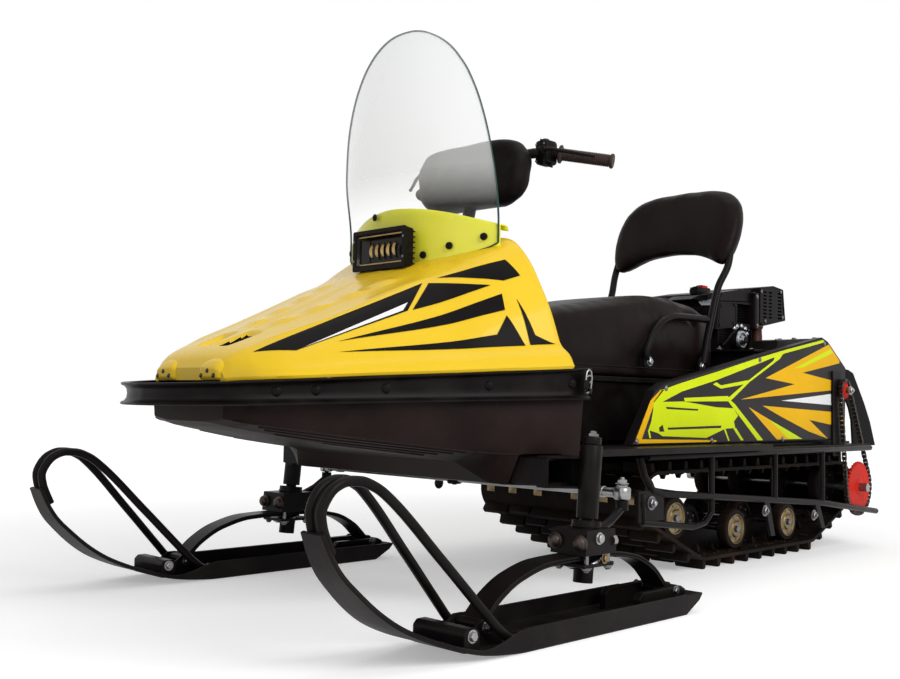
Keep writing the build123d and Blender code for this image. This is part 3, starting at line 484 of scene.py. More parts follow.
HG = []
for r in hood_grid():
    left = [(x, y, z + hood_relief(x, y)) for x, y, z in r]
    HG.append(left + [(x, -y, z) for x, y, z in left[::-1][1:]])
b = B()
k = len(HG[0])
skin = {"hood_yellow": [], "dark_hole": []}
for i in range(len(HG) - 1):
    for j in range(k - 1):
        x, y, z = [sum(HG[i + a][j + e][q] for a in (0, 1) for e in (0, 1)) / 4 for q in range(3)]
        if x < glass_x(y, z, -4) and abs(y) < OPEN_HALF and z > OPEN_Z:
            continue        # open behind the cowl, for the steering column
        # the deeper floor of the slot is coloured near black, painted shade; the rest is hood yellow
        skin["dark_hole" if hood_relief(x, y) < PAINTED_SHADE_BELOW else "hood_yellow"].append(
            [i * k + j, i * k + j + 1, (i + 1) * k + j + 1, (i + 1) * k + j])
points = [p for r in HG for p in r]
for mat, faces in skin.items():
    b.add(points, faces, mat)
# nose face down to NOSE_Z, and the rim turned in
NOSE_Z, NOSE_N = 424, 21
nose = HG[-1]
low = [(nose[0][0] - 1, nose[0][1] * (1 - 2 * i / (NOSE_N - 1)), NOSE_Z) for i in range(NOSE_N)]
b.add(nose + low[::-1], [list(range(k + NOSE_N))], "hood_yellow", False)
for s in (1, -1):
    b.grid([[(x, s * (y - e), z - g) for x, y, z in (r[0] for r in HG)] for e, g in ((0, 0), (3, 5), (12, 6))],
           "hood_yellow")
b.obj("hood_skin", "hood", replaces=("hood_shell",), slot="hood_yellow", weld=.3, solid=3.5, angle=50)
HOOD_BVH = BVHTree.FromPolygons([Vector(p) for p in points], skin["hood_yellow"] + skin["dark_hole"])

# cowl under the windscreen
b = B()
COWL_HALF, RIM_Y, RIM_Z = 229, [0, 60, 130, 175, 226], [789, 785, 773, 761, 746]
rows = []
for y in np.linspace(-COWL_HALF, COWL_HALF, 61):
    zt = float(pchip([-v for v in RIM_Y[:0:-1]] + RIM_Y, RIM_Z[:0:-1] + RIM_Z, np.clip(y, -RIM_Y[-1], RIM_Y[-1]))[0])
    zb = 618 + 66 * (abs(y) / COWL_HALF) ** 1.6
    r = [(glass_x(y, z, -1.5), y, z) for z in np.linspace(zb, zt, 14)]
    rows.append(r + [(r[-1][0] - e, y, zt + g) for e, g in ((2, 2.5), (6, 3.2), (16, 2.4), (22, -1), (24, -9))])
b.grid(rows, "cowl_lime")
b.obj("cowl", "hood", slot="hood_yellow", weld=.2, solid=3.0, angle=60)

# windscreen: one bent sheet with a polished green edge; half outline as (y, z)
b = B()
GLASS = [(228, 712), (228, 770), (228.5, 820), (228, 855), (225, 890), (217, 940), (201.5, 1000), (176, 1060),
         (155, 1092), (131, 1120), (95, 1147), (55, 1165), (25, 1171), (4, 1171.9)]
THICK = 4.0
half = [(60, 664), (120, 672), (160, 684), (190, 694), (215, 704)] + [tuple(p) for p in spline(GLASS, 46)]
side = []
for d in (THICK, 0.0):
    rows = [[(glass_x(y * t, z, d), y * t, z) for t in np.linspace(-1, 1, 41)] for y, z in half]
    b.grid(rows, "clear_glass")
    side.append([r[0] for r in rows] + rows[-1][1:-1] + [r[-1] for r in rows[::-1]] + rows[0][1:-1][::-1])
b.grid(side, "edge_green", closed_v=True)
b.obj("windscreen", "hood", replaces=("windshield",), slot="clear_glass", weld=.05)
b = B()
edge = [(glass_x(y, z, THICK / 2), y - 1.7 * (y > 8), z - 1.4) for y, z in half]
b.tube(edge + [(x, -y, z) for x, y, z in edge[::-1]], 1.55, "edge_green", n=8)
b.obj("windscreen_edge", "hood", slot="clear_glass")

# bolts that hold the screen to the cowl
b = B()
for y, z in ((-50.5, 779.6), (-204, 723), (-142, 706), (88, 690), (142.5, 706.3), (204.6, 723.2)):
    b.lathe((glass_x(y, z, THICK), y, z), (1, 2 * SIDE_CURL * y, 0),
            [(0, 7.6), (1.4, 7.6), (2.6, 6.6), (3.4, 5.2), (3.9, 3.4), (3.7, 2.2), (2.2, 2.1)], "black_plastic", 24)
b.obj("screen_bolts", "hood", slot="black_plastic")

# lamp: front face at LX, half width LH, from LZ0 up to LZ1
b = B()
LX, LH, LZ0, LZ1 = 119, 81, 662, 747
LZC = (LZ0 + LZ1) / 2


def lamp_ring(back, side, low=None):
    """rounded rectangle set back from the face and in from the sides, the bottom and the top"""
    low = side if low is None else low
    return rounded([(LX - back, y, z) for y, z in ((side - LH, LZ0 + low), (LH - side, LZ0 + low),
                                                    (LH - side, LZ1 - low), (side - LH, LZ1 - low))], 5, 4, True)


b.grid([lamp_ring(*q) for q in ((26, 3), (8, 1), (4, 0), (1, 0), (0, 1.2), (0, 9, 8), (2, 11, 10), (3, 11.5, 10.5))],
       "black_satin", closed_v=True, cap0=True)
b.grid([lamp_ring(*q) for q in ((3, 11.5, 10.5), (13, 15, 14), (22, 30, 18))], "lens_dark", closed_v=True, cap1=True)
for z in (LZ0 + 12, LZ1 - 15):
    b.box(LX - 8, LX - 4, -LH + 14, LH - 14, z, z + 3, "led_gold", .5)
# five crescent reflectors
BEND, BOW = 1.15, 17
for i in range(5):
    yc = -32 + 17.5 * i
    rows = []
    for a in np.linspace(-BEND, BEND, 13):
        w = 5.2 * math.cos(a / BEND * 1.45) + .3
        y, z = yc + 13 - BOW * math.cos(a), LZC - 1.5 + BOW * math.sin(a)
        rows.append([(LX - 11, y - w, z), (LX - 8, y, z), (LX - 11, y + w, z), (LX - 15, y, z)])
    b.solid(rows, "led_gold")
for y in (5.2 - LH, LH - 5.2):
    for z in (LZ0 + 22, LZ1 - 22):
        b.bolt((LX - .5, y, z), X1, 2.6, 2.0, "bolt_steel", washer=False)
for z in np.linspace(LZ0 + 10, LZ1 - 10, 7):
    for y in (LH - 3, 3 - LH):
        b.box(LX - 30, LX - 9, y - 2, y + 2, z - 2, z + 1, "black_satin", .6)
b.box(LX - 20, LX - 5, -28, 28, 648, LZ0 + 2, "black_satin", 2)
b.obj("head_lamp", "hood", replaces=("headlamp",), slot="black_satin", angle=30)

# nose: hinge plates with rivets on the lid's front corners
b = B()
HINGE_Y, HINGE_W, HINGE_Z0, HINGE_Z1 = 72, 33, 426, 462


def front_x(y, z):
    """the lid's front face seen from ahead, at y and z"""
    h = HOOD_BVH.ray_cast(Vector((700, y, z)), Vector((-1, 0, 0)))[0]
    return (h or HOOD_BVH.find_nearest(Vector((560, y, z)))[0]).x


for s in (1, -1):
    rows = []
    for u in np.linspace(-1, 1, 25):
        top = HINGE_Z1 - 15 * abs(u) ** 3
        edge = 1 - abs(u) ** 6
        rows.append([])
        for t in np.linspace(0, 1, 13):
            y, z = s * (HINGE_Y + HINGE_W * u), HINGE_Z0 + (top - HINGE_Z0) * t
            swell = 9.0 * edge * (1 - t ** 5) ** .6 * min(1, .75 + t * 3)
            rows[-1].append((front_x(y, z) - 1.5 + swell, y, z))
    b.grid(rows, "hood_yellow")
    x = front_x(s * HINGE_Y, 440) + 7
    for dy, z in ((-19, 432), (0, 440), (19, 432)):
        b.lathe((x, s * (HINGE_Y + dy), z), (1, 0, .3), [(0, 4.2), (1.4, 4.0), (2.4, 2.6), (2.7, .8)],
                "chain_steel", 14)
b.obj("hinge_bulges", "hood", slot="hood_yellow", weld=.05)


FAR = 500           # well outside the lid, where the rays start
DIAGONAL = math.sqrt(.5)


def decal(b, poly, mat, lift=.9, cell=9.0):
    """an outline seen square to the lid's side, as (x, z - y), laid on its skin"""
    for s in (1, -1):
        bm = bmesh.new()
        bm.faces.new([bm.verts.new((x, 0, u)) for x, u in poly])
        bmesh.ops.triangulate(bm, faces=bm.faces[:])
        for _ in range(6):
            bmesh.ops.subdivide_edges(bm, edges=[e for e in bm.edges if e.calc_length() > cell], cuts=1)
            bmesh.ops.triangulate(bm, faces=[f for f in bm.faces if len(f.verts) > 3])
        lost = []
        for v in bm.verts:
            x, _, u = v.co
            at, nn = HOOD_BVH.ray_cast(Vector((x, s * (FAR - u / 2), FAR + u / 2)),
                                       Vector((0, -DIAGONAL * s, -DIAGONAL)))[:2]
            if at is None:
                lost.append(v)
            else:
                v.co = at + (nn if nn.z > 0 else -nn) * lift
        bmesh.ops.delete(bm, geom=lost, context="VERTS")
        b.add_bm(bm, mat, True)


b = B()
for poly in ([(509.8, 338.7), (168.3, 431), (227.7, 348.1), (452.1, 300.1)],
             [(218.6, 346.7), (159.4, 423.2), (63.9, 352.1)],
             [(378.3, 298.9), (52.7, 316.6), (61.3, 267.6)],
             [(387.8, 267.5), (92.2, 210.2), (62.5, 251.7), (43.3, 162.9)],
             [(137.7, 435.2), (12.3, 418.3), (2.7, 353.8), (37.8, 353.5)],
             [(30.8, 291.1), (17.8, 182.7), (-17.5, 147.0), (33.3, 161.4)]):
    decal(b, poly, "decal_black")
decal(b, [(436.9, 304.3), (219.3, 373.5), (236.2, 351.4)], "decal_white", 1.6)
b.obj("hood_stripes", "hood", slot="hood_yellow", weld=.01)

# bumper: a pressed channel round the nose
BP = [(-70, 398), (20, 366), (150, 319), (300, 263), (450, 208), (540, 172), (580, 148), (606, 115), (626, 75),
      (636, 38), (640, 0)]
half = [tuple(p) for p in spline(BP, 90)]
PLAN = half + [(x, -y) for x, y in half[::-1][1:]]


def bumper_z(x):
    """lower and upper edge of the bumper at x"""
    t = (x + 70) / 710
    return 403 - 24 * t, 463 - 46 * t


# a flange of the section, as (out, in from the edge): rolled lip, then the step down to the web
LIP = [(-4, 1), (-3, 0), (8.5, 0), (10, 1), (10, 3.5), (8, 5), (4, 6.5), (1.2, 10)]
b = B()
rows = []
for (x, y), tx, ty in along(PLAN):
    zb, zt = bumper_z(x)
    h = zt - zb
    pr = [(d, zt - e) for d, e in LIP] + [(0, zt - h * .3), (-1, zt - h * .5), (0, zb + h * .3)] + \
         [(d, zb + e) for d, e in LIP[::-1]]
    rows.append([(x - ty * d, y + tx * d, z) for d, z in pr])
b.solid(rows, "black_satin")
for s in (1, -1):
    for x, y in ((-36, 386), (130, 326), (317, 257), (436, 213), (500, 189)):
        b.lathe((x - .5, s * (y - 1.5), sum(bumper_z(x)) / 2 + 2), (.85, s * .94, 0),
                [(0, 9.5), (1.6, 9.5), (2.2, 8.6), (3.6, 7.6), (4.8, 5.6), (5.3, 3)], "black_plastic", 26)
b.obj("bumper", "chassis", replaces=("bumper_band",), slot="black_satin", weld=.05, angle=40)

# lower side of the belly as (x, crease y, crease z, bottom y, bottom z)
BST = [(60, 334, 299, 305, 242), (88, 323, 300, 290, 246), (130, 307, 303, 240, 284), (170, 291, 307, 200, 291),
       (366, 218, 331, 130, 317), (522, 147, 352, 92, 344), (552, 110, 359, 66, 353)]


def belly_low(x, t):
    """point on the face between crease (t 0) and bottom edge (t 1)"""
    y0, z0, y1, z1 = [float(np.interp(x, [s[0] for s in BST], [s[k] for s in BST])) for k in (1, 2, 3, 4)]
    return x, y0 + (y1 - y0) * t, z0 + (z1 - z0) * t


# ribs pressed into it, and beading along the crease
b = B()
for s in (1, -1):
    for x0, t0, x1, t1 in ((500, .25, 150, .10), (480, .55, 160, .32), (450, .85, 172, .56), (360, .9, 182, .8)):
        rows = []
        for j, u in enumerate(np.linspace(0, 1, 24)):
            x, y, z = belly_low(x0 + (x1 - x0) * u, t0 + (t1 - t0) * u)
            w = 5 * math.sin(math.pi * (j + .5) / 24) ** .5 + .4
            rows.append([(x, s * (y + e * w * .9), z + e * w * .25 - g)
                         for e, g in ((-1, -.6), (-.6, 2), (.6, 2.4), (1, -.4))])
        b.grid(rows, "belly_plastic")
    crease = [belly_low(x, 0) for x in np.linspace(540, 10, 50)]
    b.tube([(x, s * (y + .2), z + .3) for x, y, z in crease], 1.7, "belly_plastic", n=8)
b.obj("belly_ribs", "chassis", slot="belly_plastic")

# ------------------------------------------------------------ skis
STANCE = 445        # half the distance between the skis
# running face of a ski as (x, z, half width)
SKI = [(-218, 0, 80), (-120, 0, 80), (0, 0, 80), (120, 0, 80), (240, 0, 80), (290, 3, 80), (340, 9, 78),
       (386, 20, 69), (430, 35, 60), (482, 58, 50), (522, 84, 43), (560, 117, 37), (588, 146, 32), (606, 175, 28),
       (620, 206, 25)]
SKI_PATH = [tuple(p) for p in spline(SKI, 110)]
SKI_T = 6.0         # thickness of the ski's floor
LEAF_PATH = [tuple(p) for p in spline([(290, 44), (250, 80), (196, 108), (120, 125), (42, 127.5), (-46, 127.5),
                                       (-130, 116), (-190, 89), (-236, 48)], 70)]
LOOP = [(592, 12, 177), (602.5, 12, 199), (609, 12, 216), (612, 12, 234), (604, 13, 255), (587, 14, 272),
        (565, 15, 279), (545, 17, 278), (520, 21, 269), (500, 25, 255), (400, 40, 155), (310, 53, 62),
        (290, 56, 42), (262, 58, 22), (231, 58, 13)]
KPA = (-6.0, -23.0, 140.0, 320.0)       # king pin: x at its foot and head, z at its foot and head


def king_pin(z, yc):
    return KPA[0] + (KPA[1] - KPA[0]) * (z - KPA[2]) / (KPA[3] - KPA[2]), yc, z


KING_DIR = np.subtract(king_pin(1, 0), king_pin(0, 0))


def pins(b, yc, spots, d, prof, mat, n):
    """the same turned form at several places (x, y from the ski's middle, z)"""
    for x, y, z in spots:
        b.lathe((x, yc + y, z), d, prof, mat, n)


def ski(side, nm):
    yc = side * STANCE
    b = B()
    rows = []
    for (x, z, w), tx, tz in along(SKI_PATH):
        wall = 31 * (1 - smooth01(x, 236, 352)) + SKI_T
        rib = 2.2 if x < 480 else 0
        q = [(2 - w, 0), (-w, 2), (-w, wall), (2 - w, wall + 1.5), (5 - w, wall), (5.5 - w, SKI_T + 1.5),
             (9 - w, SKI_T), (-w * .45, SKI_T + .01), (-w * .4, SKI_T + rib), (-w * .12, SKI_T + rib),
             (-w * .07, SKI_T), (0, SKI_T)]
        q += [(-y, h) for y, h in q[::-1][1:]] + [(w * .5, 0), (0, 0), (-w * .5, 0)]
        rows.append([(x - tz * h, yc + y, z + tx * h) for y, h in q])
    b.solid(rows, "ski_plastic")

    def plate(poly, y, half, mat, r):
        """plate cut to poly (x, z), half thick to each side of y"""
        b.prism([(x, yc + y, z) for x, z in poly], (0, -half, 0), (0, half, 0), mat, r)

    # the rear end slopes up to its lip
    for y in (-77.3, 77.3):
        plate([(-217.8, .6), (-262, 23), (-272, 33), (-272, 36.8), (-217.8, 36.8)], y, 2.6, "ski_plastic", .8)
    plate([(-217.9, .4), (-262, 23), (-272, 33), (-271.5, 37), (-258, 29), (-212, 5)], 0, 75.5, "ski_plastic", .8)
    # cross block ahead of the spring, the long cheeks behind, and the front bracket's cheeks
    plate([(330, 8), (366, 12), (366, 40), (358, 48), (338, 48), (330, 40)], 0, 58, "black_satin", 3)
    for s in (-1, 1):
        plate([(-266, 6), (-266, 40), (-252, 47), (-124, 47), (-112, 36), (-112, 6)], s * 38, 7.5, "black_satin", 1.5)
        plate([(250, 6), (330, 12), (326, 34), (300, 52), (280, 52), (258, 34)], s * 31, 2.5, "black_satin", 1)
        b.bolt((348, yc + s * 58, 36), (0, s, 0), 7, 6, "steel")
        b.bolt((290, yc + s * 34, 38), (0, s, 0), 7, 6)
        b.bolt((-232, yc + s * 46, 40), (0, s, 0), 6.5, 5)
        for x in (180, -150):
            b.bolt((x, yc + s * 52, 7), Z1, 6, 5)
        b.bolt((612, yc + s * 12, 202), (.9, 0, .4), 4.5, 3.5, washer=False)
    b.box(-262, -236, yc - 31, yc + 31, 34, 46, "black_satin", 2)
    # wear bar screws, and the cross bolts of the brackets
    pins(b, yc, [(x, 0, 8) for x in (-170, -60, 60, 170)], Z1, [(0, 6), (2, 6), (3.2, 4), (3.4, 1)], "bolt_steel", 18)
    for x, y, z in ((290, 44, 38), (-232, 48, 40)):
        b.lathe((x, yc - y, z), Y1, [(0, 4.6), (2 * y, 4.6)], "bolt_steel", 16)
    b.obj("ski_blade_" + nm, "ski_unit_" + nm, replaces=("ski_" + nm,), slot="ski_plastic", weld=.05)

    # leaf spring: two leaves with clips
    b = B()
    for t0, t1 in ((0, 4.6), (4.9, 9.5)):
        sec = [(-24, t0), (24, t0), (25, t0 + 1), (25, t1 - 1), (24, t1), (-24, t1), (-25, t1 - 1), (-25, t0 + 1)]
        b.solid([[(x - tz * h, yc + y, z + tx * h) for y, h in sec] for (x, z), tx, tz in along(LEAF_PATH)],
                "black_satin")
    pins(b, yc, [(290, -26, 40), (-236, -26, 44)], Y1, [(0, 9.5), (52, 9.5)], "black_satin", 24)
    b.obj("leaf_" + nm, "ski_unit_" + nm, replaces=("leaf_spring_" + nm,), slot="black_satin", weld=.05)

    # hand loop of bent tube
    b = B()
    for s in (-1, 1):
        b.tube([(x, yc + s * y, z) for x, y, z in spline(LOOP, 90)], 8, "black_satin", n=16)
    b.tube([(556, yc - 16, 279), (556, yc + 16, 279)], 5, "black_satin", n=12)
    b.obj("loop_" + nm, "ski_unit_" + nm, replaces=("ski_loop_" + nm,), slot="black_satin")

    # spindle fittings: collars and washers on the king pin, clamp bolts, stub
    b = B()
    for z, prof, mat, n in ((332, [(0, 17), (2, 17), (3.5, 15)], "black_satin", 28),
                            (334, [(0, 11), (7, 11)], "bolt_steel", 6),
                            (340, [(0, 7), (5, 7), (6, 5)], "bolt_steel", 16),
                            (171.5, [(0, 27.4), (.8, 28.2), (3.2, 28.2), (4, 27.4)], "black_satin", 28),
                            (175.8, [(0, 23), (.8, 23.8), (2.2, 23.8), (3, 23)], "bolt_steel", 28),
                            (179, [(0, 26), (.8, 26.8), (3.2, 26.8), (4, 26)], "black_satin", 28)):
        b.lathe(king_pin(z, yc), KING_DIR, prof, mat, n, smooth=n > 6)
    b.lathe(king_pin(112, yc), -KING_DIR, [(0, 19.5), (12, 18.5), (34, 16), (38, 14)], "black_satin", 26)
    # front nuts with big washers, bright washers at the side, small brass bolt
    pins(b, yc, [(44, -28, 150), (44, 28, 150)], X1,
         [(-2, 14.5), (1.5, 14.5), (2.5, 12.5), (7, 12.2), (11, 9), (13, 4)], "chain_steel", 24)
    pins(b, yc, [(6, side * 40, 157)], (0, side, 0), [(0, 11), (2, 11), (2.5, 8), (7, 8), (8, 6)], "steel", 24)
    pins(b, yc, [(-38, side * 36, 150)], (-1, 0, 0), [(-4, 10), (6, 10), (8, 8)], "steel", 20)
    b.bolt((-14, side * (STANCE + 38), 120), (0, side, 0), 6.5, 6, "zinc_gold")
    spots = [(x, y, 98) for x in (-32, 30) for y in (-31, 31)]
    pins(b, yc, spots, Z1, [(0, 4.2), (34, 4.2)], "bolt_steel", 12)
    for x, y, _ in spots:
        b.bolt((x, yc + y, 106), (0, 0, -1), 6.5, 6)
    # bent ring of the U-bolt below the spring
    b.tube([(2 + 26 * math.cos(q), yc + 30 * math.sin(q), 113 - 9 * math.cos(q)) for q in ring(30)], 4.2, "steel",
           n=12, closed=True)
    b.bolt((-118, yc, 246), Z1, 8, 8, "steel", nut=True)
    b.obj("spindle_fittings_" + nm, "ski_unit_" + nm, slot="steel")


ski(1, "left")
ski(-1, "right")

# tie rod ends and the middle joint
b = B()
ROD_X, ROD_Z = -118, 228
for y, m in ((STANCE, "steel"), (-STANCE, "steel"), (0, "black_satin")):
    b.lathe((ROD_X, y, ROD_Z - 12), Z1, [(0, 13), (1, 15), (3, 16.5), (21, 16.5), (23, 15), (24, 13)], m, 28)
    b.lathe((ROD_X, y, ROD_Z + 10), Z1, [(0, 10), (5, 10), (6, 8)], m, 6, smooth=False)
for s in (1, -1):
    b.lathe((ROD_X, s * (STANCE - 15), ROD_Z), (0, -s, 0),
            [(0, 10), (4, 10), (5, 9.2), (26, 9.2), (27, 11), (36, 11), (37, 8.2), (40, 8.2)], "steel", 20)
    b.lathe((ROD_X, s * (STANCE - 54), ROD_Z), (0, -s, 0), [(0, 12), (7, 12)], "steel", 6, smooth=False)
b.obj("tie_rod_ends", "tie_rod", slot="steel")


# ------------------------------------------------------------ track, wheels, chain
def tangent_path(circles, step=8):
    """outline of a belt round circles (x, z, r), with a point about every step degrees of wrap"""
    pts = []
    seg = []
    for (x0, z0, r0), (x1, z1, r1) in zip(circles, circles[1:] + circles[:1]):
        d = math.hypot(x1 - x0, z1 - z0)
        seg.append(math.atan2(z1 - z0, x1 - x0) - math.acos((r0 - r1) / d))
    for i, (x, z, r) in enumerate(circles):
        d = (seg[i] - seg[i - 1]) % (2 * math.pi)
        k = max(1, int(d / math.radians(step)))
        for j in range(k + 1):
            a = seg[i - 1] + d * j / k
            pts.append((x + r * math.cos(a), z + r * math.sin(a)))
    return pts


def resample(pts, n, phase=0.0):
    """n points (x, z, direction) spaced evenly round a closed path"""
    p = pts + [pts[0]]
    ls = [math.dist(a, c) for a, c in zip(p, p[1:])]
    out = []
    for k in range(n):
        s = (k + phase) / n * sum(ls)
        i = 0
        while s > ls[i]:
            s -= ls[i]
            i += 1
        a, c = p[i], p[i + 1]
        t = s / ls[i]
        out.append((a[0] + (c[0] - a[0]) * t, a[1] + (c[1] - a[1]) * t, math.atan2(c[1] - a[1], c[0] - a[0])))
    return out


# line through the lugs' tips: front wheels, rear axle, then the ground run
CIRC = [(-535, 178, 88), (-1469, 171, 93), (-1284, 84, 84), (-736, 84, 84)]
BELT_MID = (-1000, 130)                         # a point inside the loop
TH = 250                                        # half the belt's width
BELT_OUT, BELT_IN, LUG_FOOT = 22, 30, 23        # depths below that line
LUGS = 34


def belt(depth):
    return tangent_path([(x, z, r - depth) for x, z, r in CIRC])


def on_belt(x, z, a):
    """a function that gives the point t along, y across and h out of the belt"""
    tx, tz = math.cos(a), math.sin(a)
    nx, nz = -tz, tx
    if (x - BELT_MID[0]) * nx + (z - BELT_MID[1]) * nz < 0:
        nx, nz = -nx, -nz
    return lambda t, y, h: (x + tx * t + nx * h, y, z + tz * t + nz * h)


b = B()
rows = []
for (x, z, _), (x1, z1, _) in zip(resample(belt(BELT_OUT), 5 * LUGS), resample(belt(BELT_IN), 5 * LUGS)):
    rows.append([(x, y, z) for y in (-TH, -TH + 4, TH - 4, TH)]
                + [(x1, y, z1) for y in (TH, TH - 60, TH - 62, -TH + 60, -TH)])
b.grid(rows, "track_rubber", closed_u=True, closed_v=True)
for spot in resample(belt(LUG_FOOT), LUGS, .35):
    def at(t, y, h, on=on_belt(*spot)):
        x, y, z = on(t, y, h)
        return x, y, max(0.0, z)

    # a lug across the belt in five steps, with scooped gaps
    for y0, y1, h in ((-TH + 6, -TH + 86, 23), (-TH + 92, -92, 17), (-84, 84, 23), (92, TH - 92, 17),
                      (TH - 86, TH - 6, 23)):
        sec = []
        for y, e in ((y0, 2.5), (y0 + 3, 0), (y1 - 3, 0), (y1, 2.5)):
            flank = [(9.5 - e * .3, -1), (6.5 - e * .3, h - 4 - e), (4.5, h - e)]
            sec.append([at(-t, y, g) for t, g in flank] + [at(t, y, g) for t, g in flank[::-1]])
        b.solid(sec, "track_rubber")
    # guide teeth inside
    for y in (-178, -100, 100, 178):
        b.grid([[at(i * t, y + j * w, h) for i, j in ((-1, -1), (1, -1), (1, 1), (-1, 1))]
                for t, w, h in ((7, 9, -8), (3, 4, -26))], "track_rubber", closed_v=True, cap1=True)
b.obj("track", "chassis", replaces=("track_belt",), slot="track_rubber", weld=0, angle=30)
# metal clips wrapped over the belt, between windows, one row to each lug
b = B()
CLIP = [(-10, 1.2), (-8, 2.6), (8, 2.6), (10, 1.2)]
for spot in resample(belt(LUG_FOOT), 2 * LUGS, .2)[::2]:
    at = on_belt(*spot)
    for y in (-214, -140, -58, 58, 140, 214):
        b.solid([[at(-10, y + w, e - 11)] + [at(t, y + w, h - e) for t, h in CLIP] + [at(10, y + w, e - 11)]
                 + [at(t, y + w, h) for t, h in ((8, -10), (8, .5), (-8, .5), (-8, -10))]
                 for w, e in ((-13, 1.0), (-11, 0), (11, 0), (13, 1.0))], "zinc_gold")
b.obj("track_clips", "chassis", slot="zinc_gold", weld=0)


def road_wheel(b, x, y, z, r, w, hub):
    """rubber tyre, w wide, on a pressed hub whose face looks outward"""
    out = 1 if y > 0 else -1
    tyre = [(0, r - 13), (0, r - 3), (2, r - .8), (4, r)]
    b.lathe((x, y - w / 2, z), Y1, tyre + [(w - t, q) for t, q in tyre[::-1]], "track_rubber", 44, caps=False)
    b.lathe((x, y + out * w / 2, z), (0, -out, 0),
            [(0, r - 12.5), (-1.5, r - 13.5), (-1.5, r - 15), (2, r - 17), (2.6, r - 24), (2.6, 22), (.8, 19.5),
             (-1.5, 18), (-2, 15), (-2, 11)], hub, 44, caps=False)
    b.lathe((x, y - out * w / 2, z), (0, out, 0), [(0, r - 13), (4, r - 19), (6, 14)], hub, 36, caps=False)
    b.lathe((x, y + out * (w / 2 + 1), z), (0, out, 0), [(0, 12), (1, 12), (1.2, 8.5), (6, 8.5), (7, 7)],
            "bolt_steel", 24)
    for q in ring(6) + .3:
        b.lathe((x + math.cos(q) * (r - 22), y + out * (w / 2 - 3), z + math.sin(q) * (r - 22)), (0, out, 0),
                [(0, 3.4), (1.8, 3.2), (2.4, 1.8)], "bolt_steel", 12)


b = B()
for x, z in ((-645, 127), (-925, 82), (-1200, 82)):
    for y, hub in ((-(TH - 42), "zinc_gold"), (-70, "black_plastic"), (70, "black_plastic"), (TH - 42, "zinc_gold")):
        road_wheel(b, x, y, z, 51, 28, hub)
    b.tube([(x, -TH + 27, z), (x, TH - 27, z)], 8, "steel", n=16)
b.obj("road_wheels", "chassis", replaces=("roller_wheels",), slot="zinc_gold", weld=.01)
for name, node, x, z, r, y0, y1, bar, n in (("front_wheels", "front_idler", -535, 178, 57, -TH, TH, 10, 16),
                                            ("drive_wheels", "rear_drive_axle", -1469, 171, 62, -262, 330, 12, 20)):
    b = B()
    for y in (-(TH - 60), -70, 70, TH - 60):
        road_wheel(b, x, y, z, r, 30, "black_plastic")
    b.tube([(x, y0, z), (x, y1, z)], bar, "steel", n=n)
    b.obj(name, "chassis", replaces=(node,), slot="black_plastic", weld=.01)

CHAIN_Y = 301
BIG_XZ, SMALL_XZ = (-1469, 171), (-1386, 447)


def sprocket(b, x, z, r, teeth, hub, t=7, mat="red_paint"):
    """toothed disc, t thick, on a raised hub"""
    y = CHAIN_Y
    prof = [(q, r - 3.5 + 3.5 * max(-1, min(1, 1.6 * math.cos(teeth * q)))) for q in ring(teeth * 8)]
    rows = [[(x + math.cos(q) * (rr - e), y + yy, z + math.sin(q) * (rr - e)) for q, rr in prof]
            for yy, e in ((-t / 2, 2.0), (-t / 2 + 1.2, 0), (t / 2 - 1.2, 0), (t / 2, 2.0))]
    b.grid(rows, mat, closed_v=True, smooth=False)
    bore = [[(x + math.cos(q) * hub, y + yy, z + math.sin(q) * hub) for q, _ in prof] for yy in (-t / 2, t / 2)]
    for pair in ((rows[0], bore[0]), (rows[-1], bore[1]), bore):
        b.grid(pair, mat, closed_v=True)
    b.lathe((x, y - t / 2, z), Y1, [(0, hub), (0, hub + 6), (t + 1, hub + 6), (t + 2, hub + 4), (t + 2, 7)], mat, 36,
            caps=False)


b = B()
x, z = BIG_XZ
sprocket(b, x, z, 73, 36, 17)
b.lathe((x, CHAIN_Y + 3, z), Y1, [(0, 66), (.8, 66), (.8, 40), (.2, 40)], "red_paint", 60, caps=False)
b.bolt((x, CHAIN_Y + 6, z), Y1, 7, 5, "steel")
b.obj("big_sprocket", "chassis", replaces=("driven_sprocket",), slot="red_paint", weld=.01)
b = B()
x, z = SMALL_XZ
sprocket(b, x, z, 24, 12, 9)
b.tube([(x, 262, z), (x, 317, z)], 9, "steel", n=18)
b.bolt((x, 317, z), Y1, 8, 7, "steel", nut=True)
b.obj("small_sprocket", "chassis", replaces=("drive_sprocket",), slot="red_paint", weld=.01)
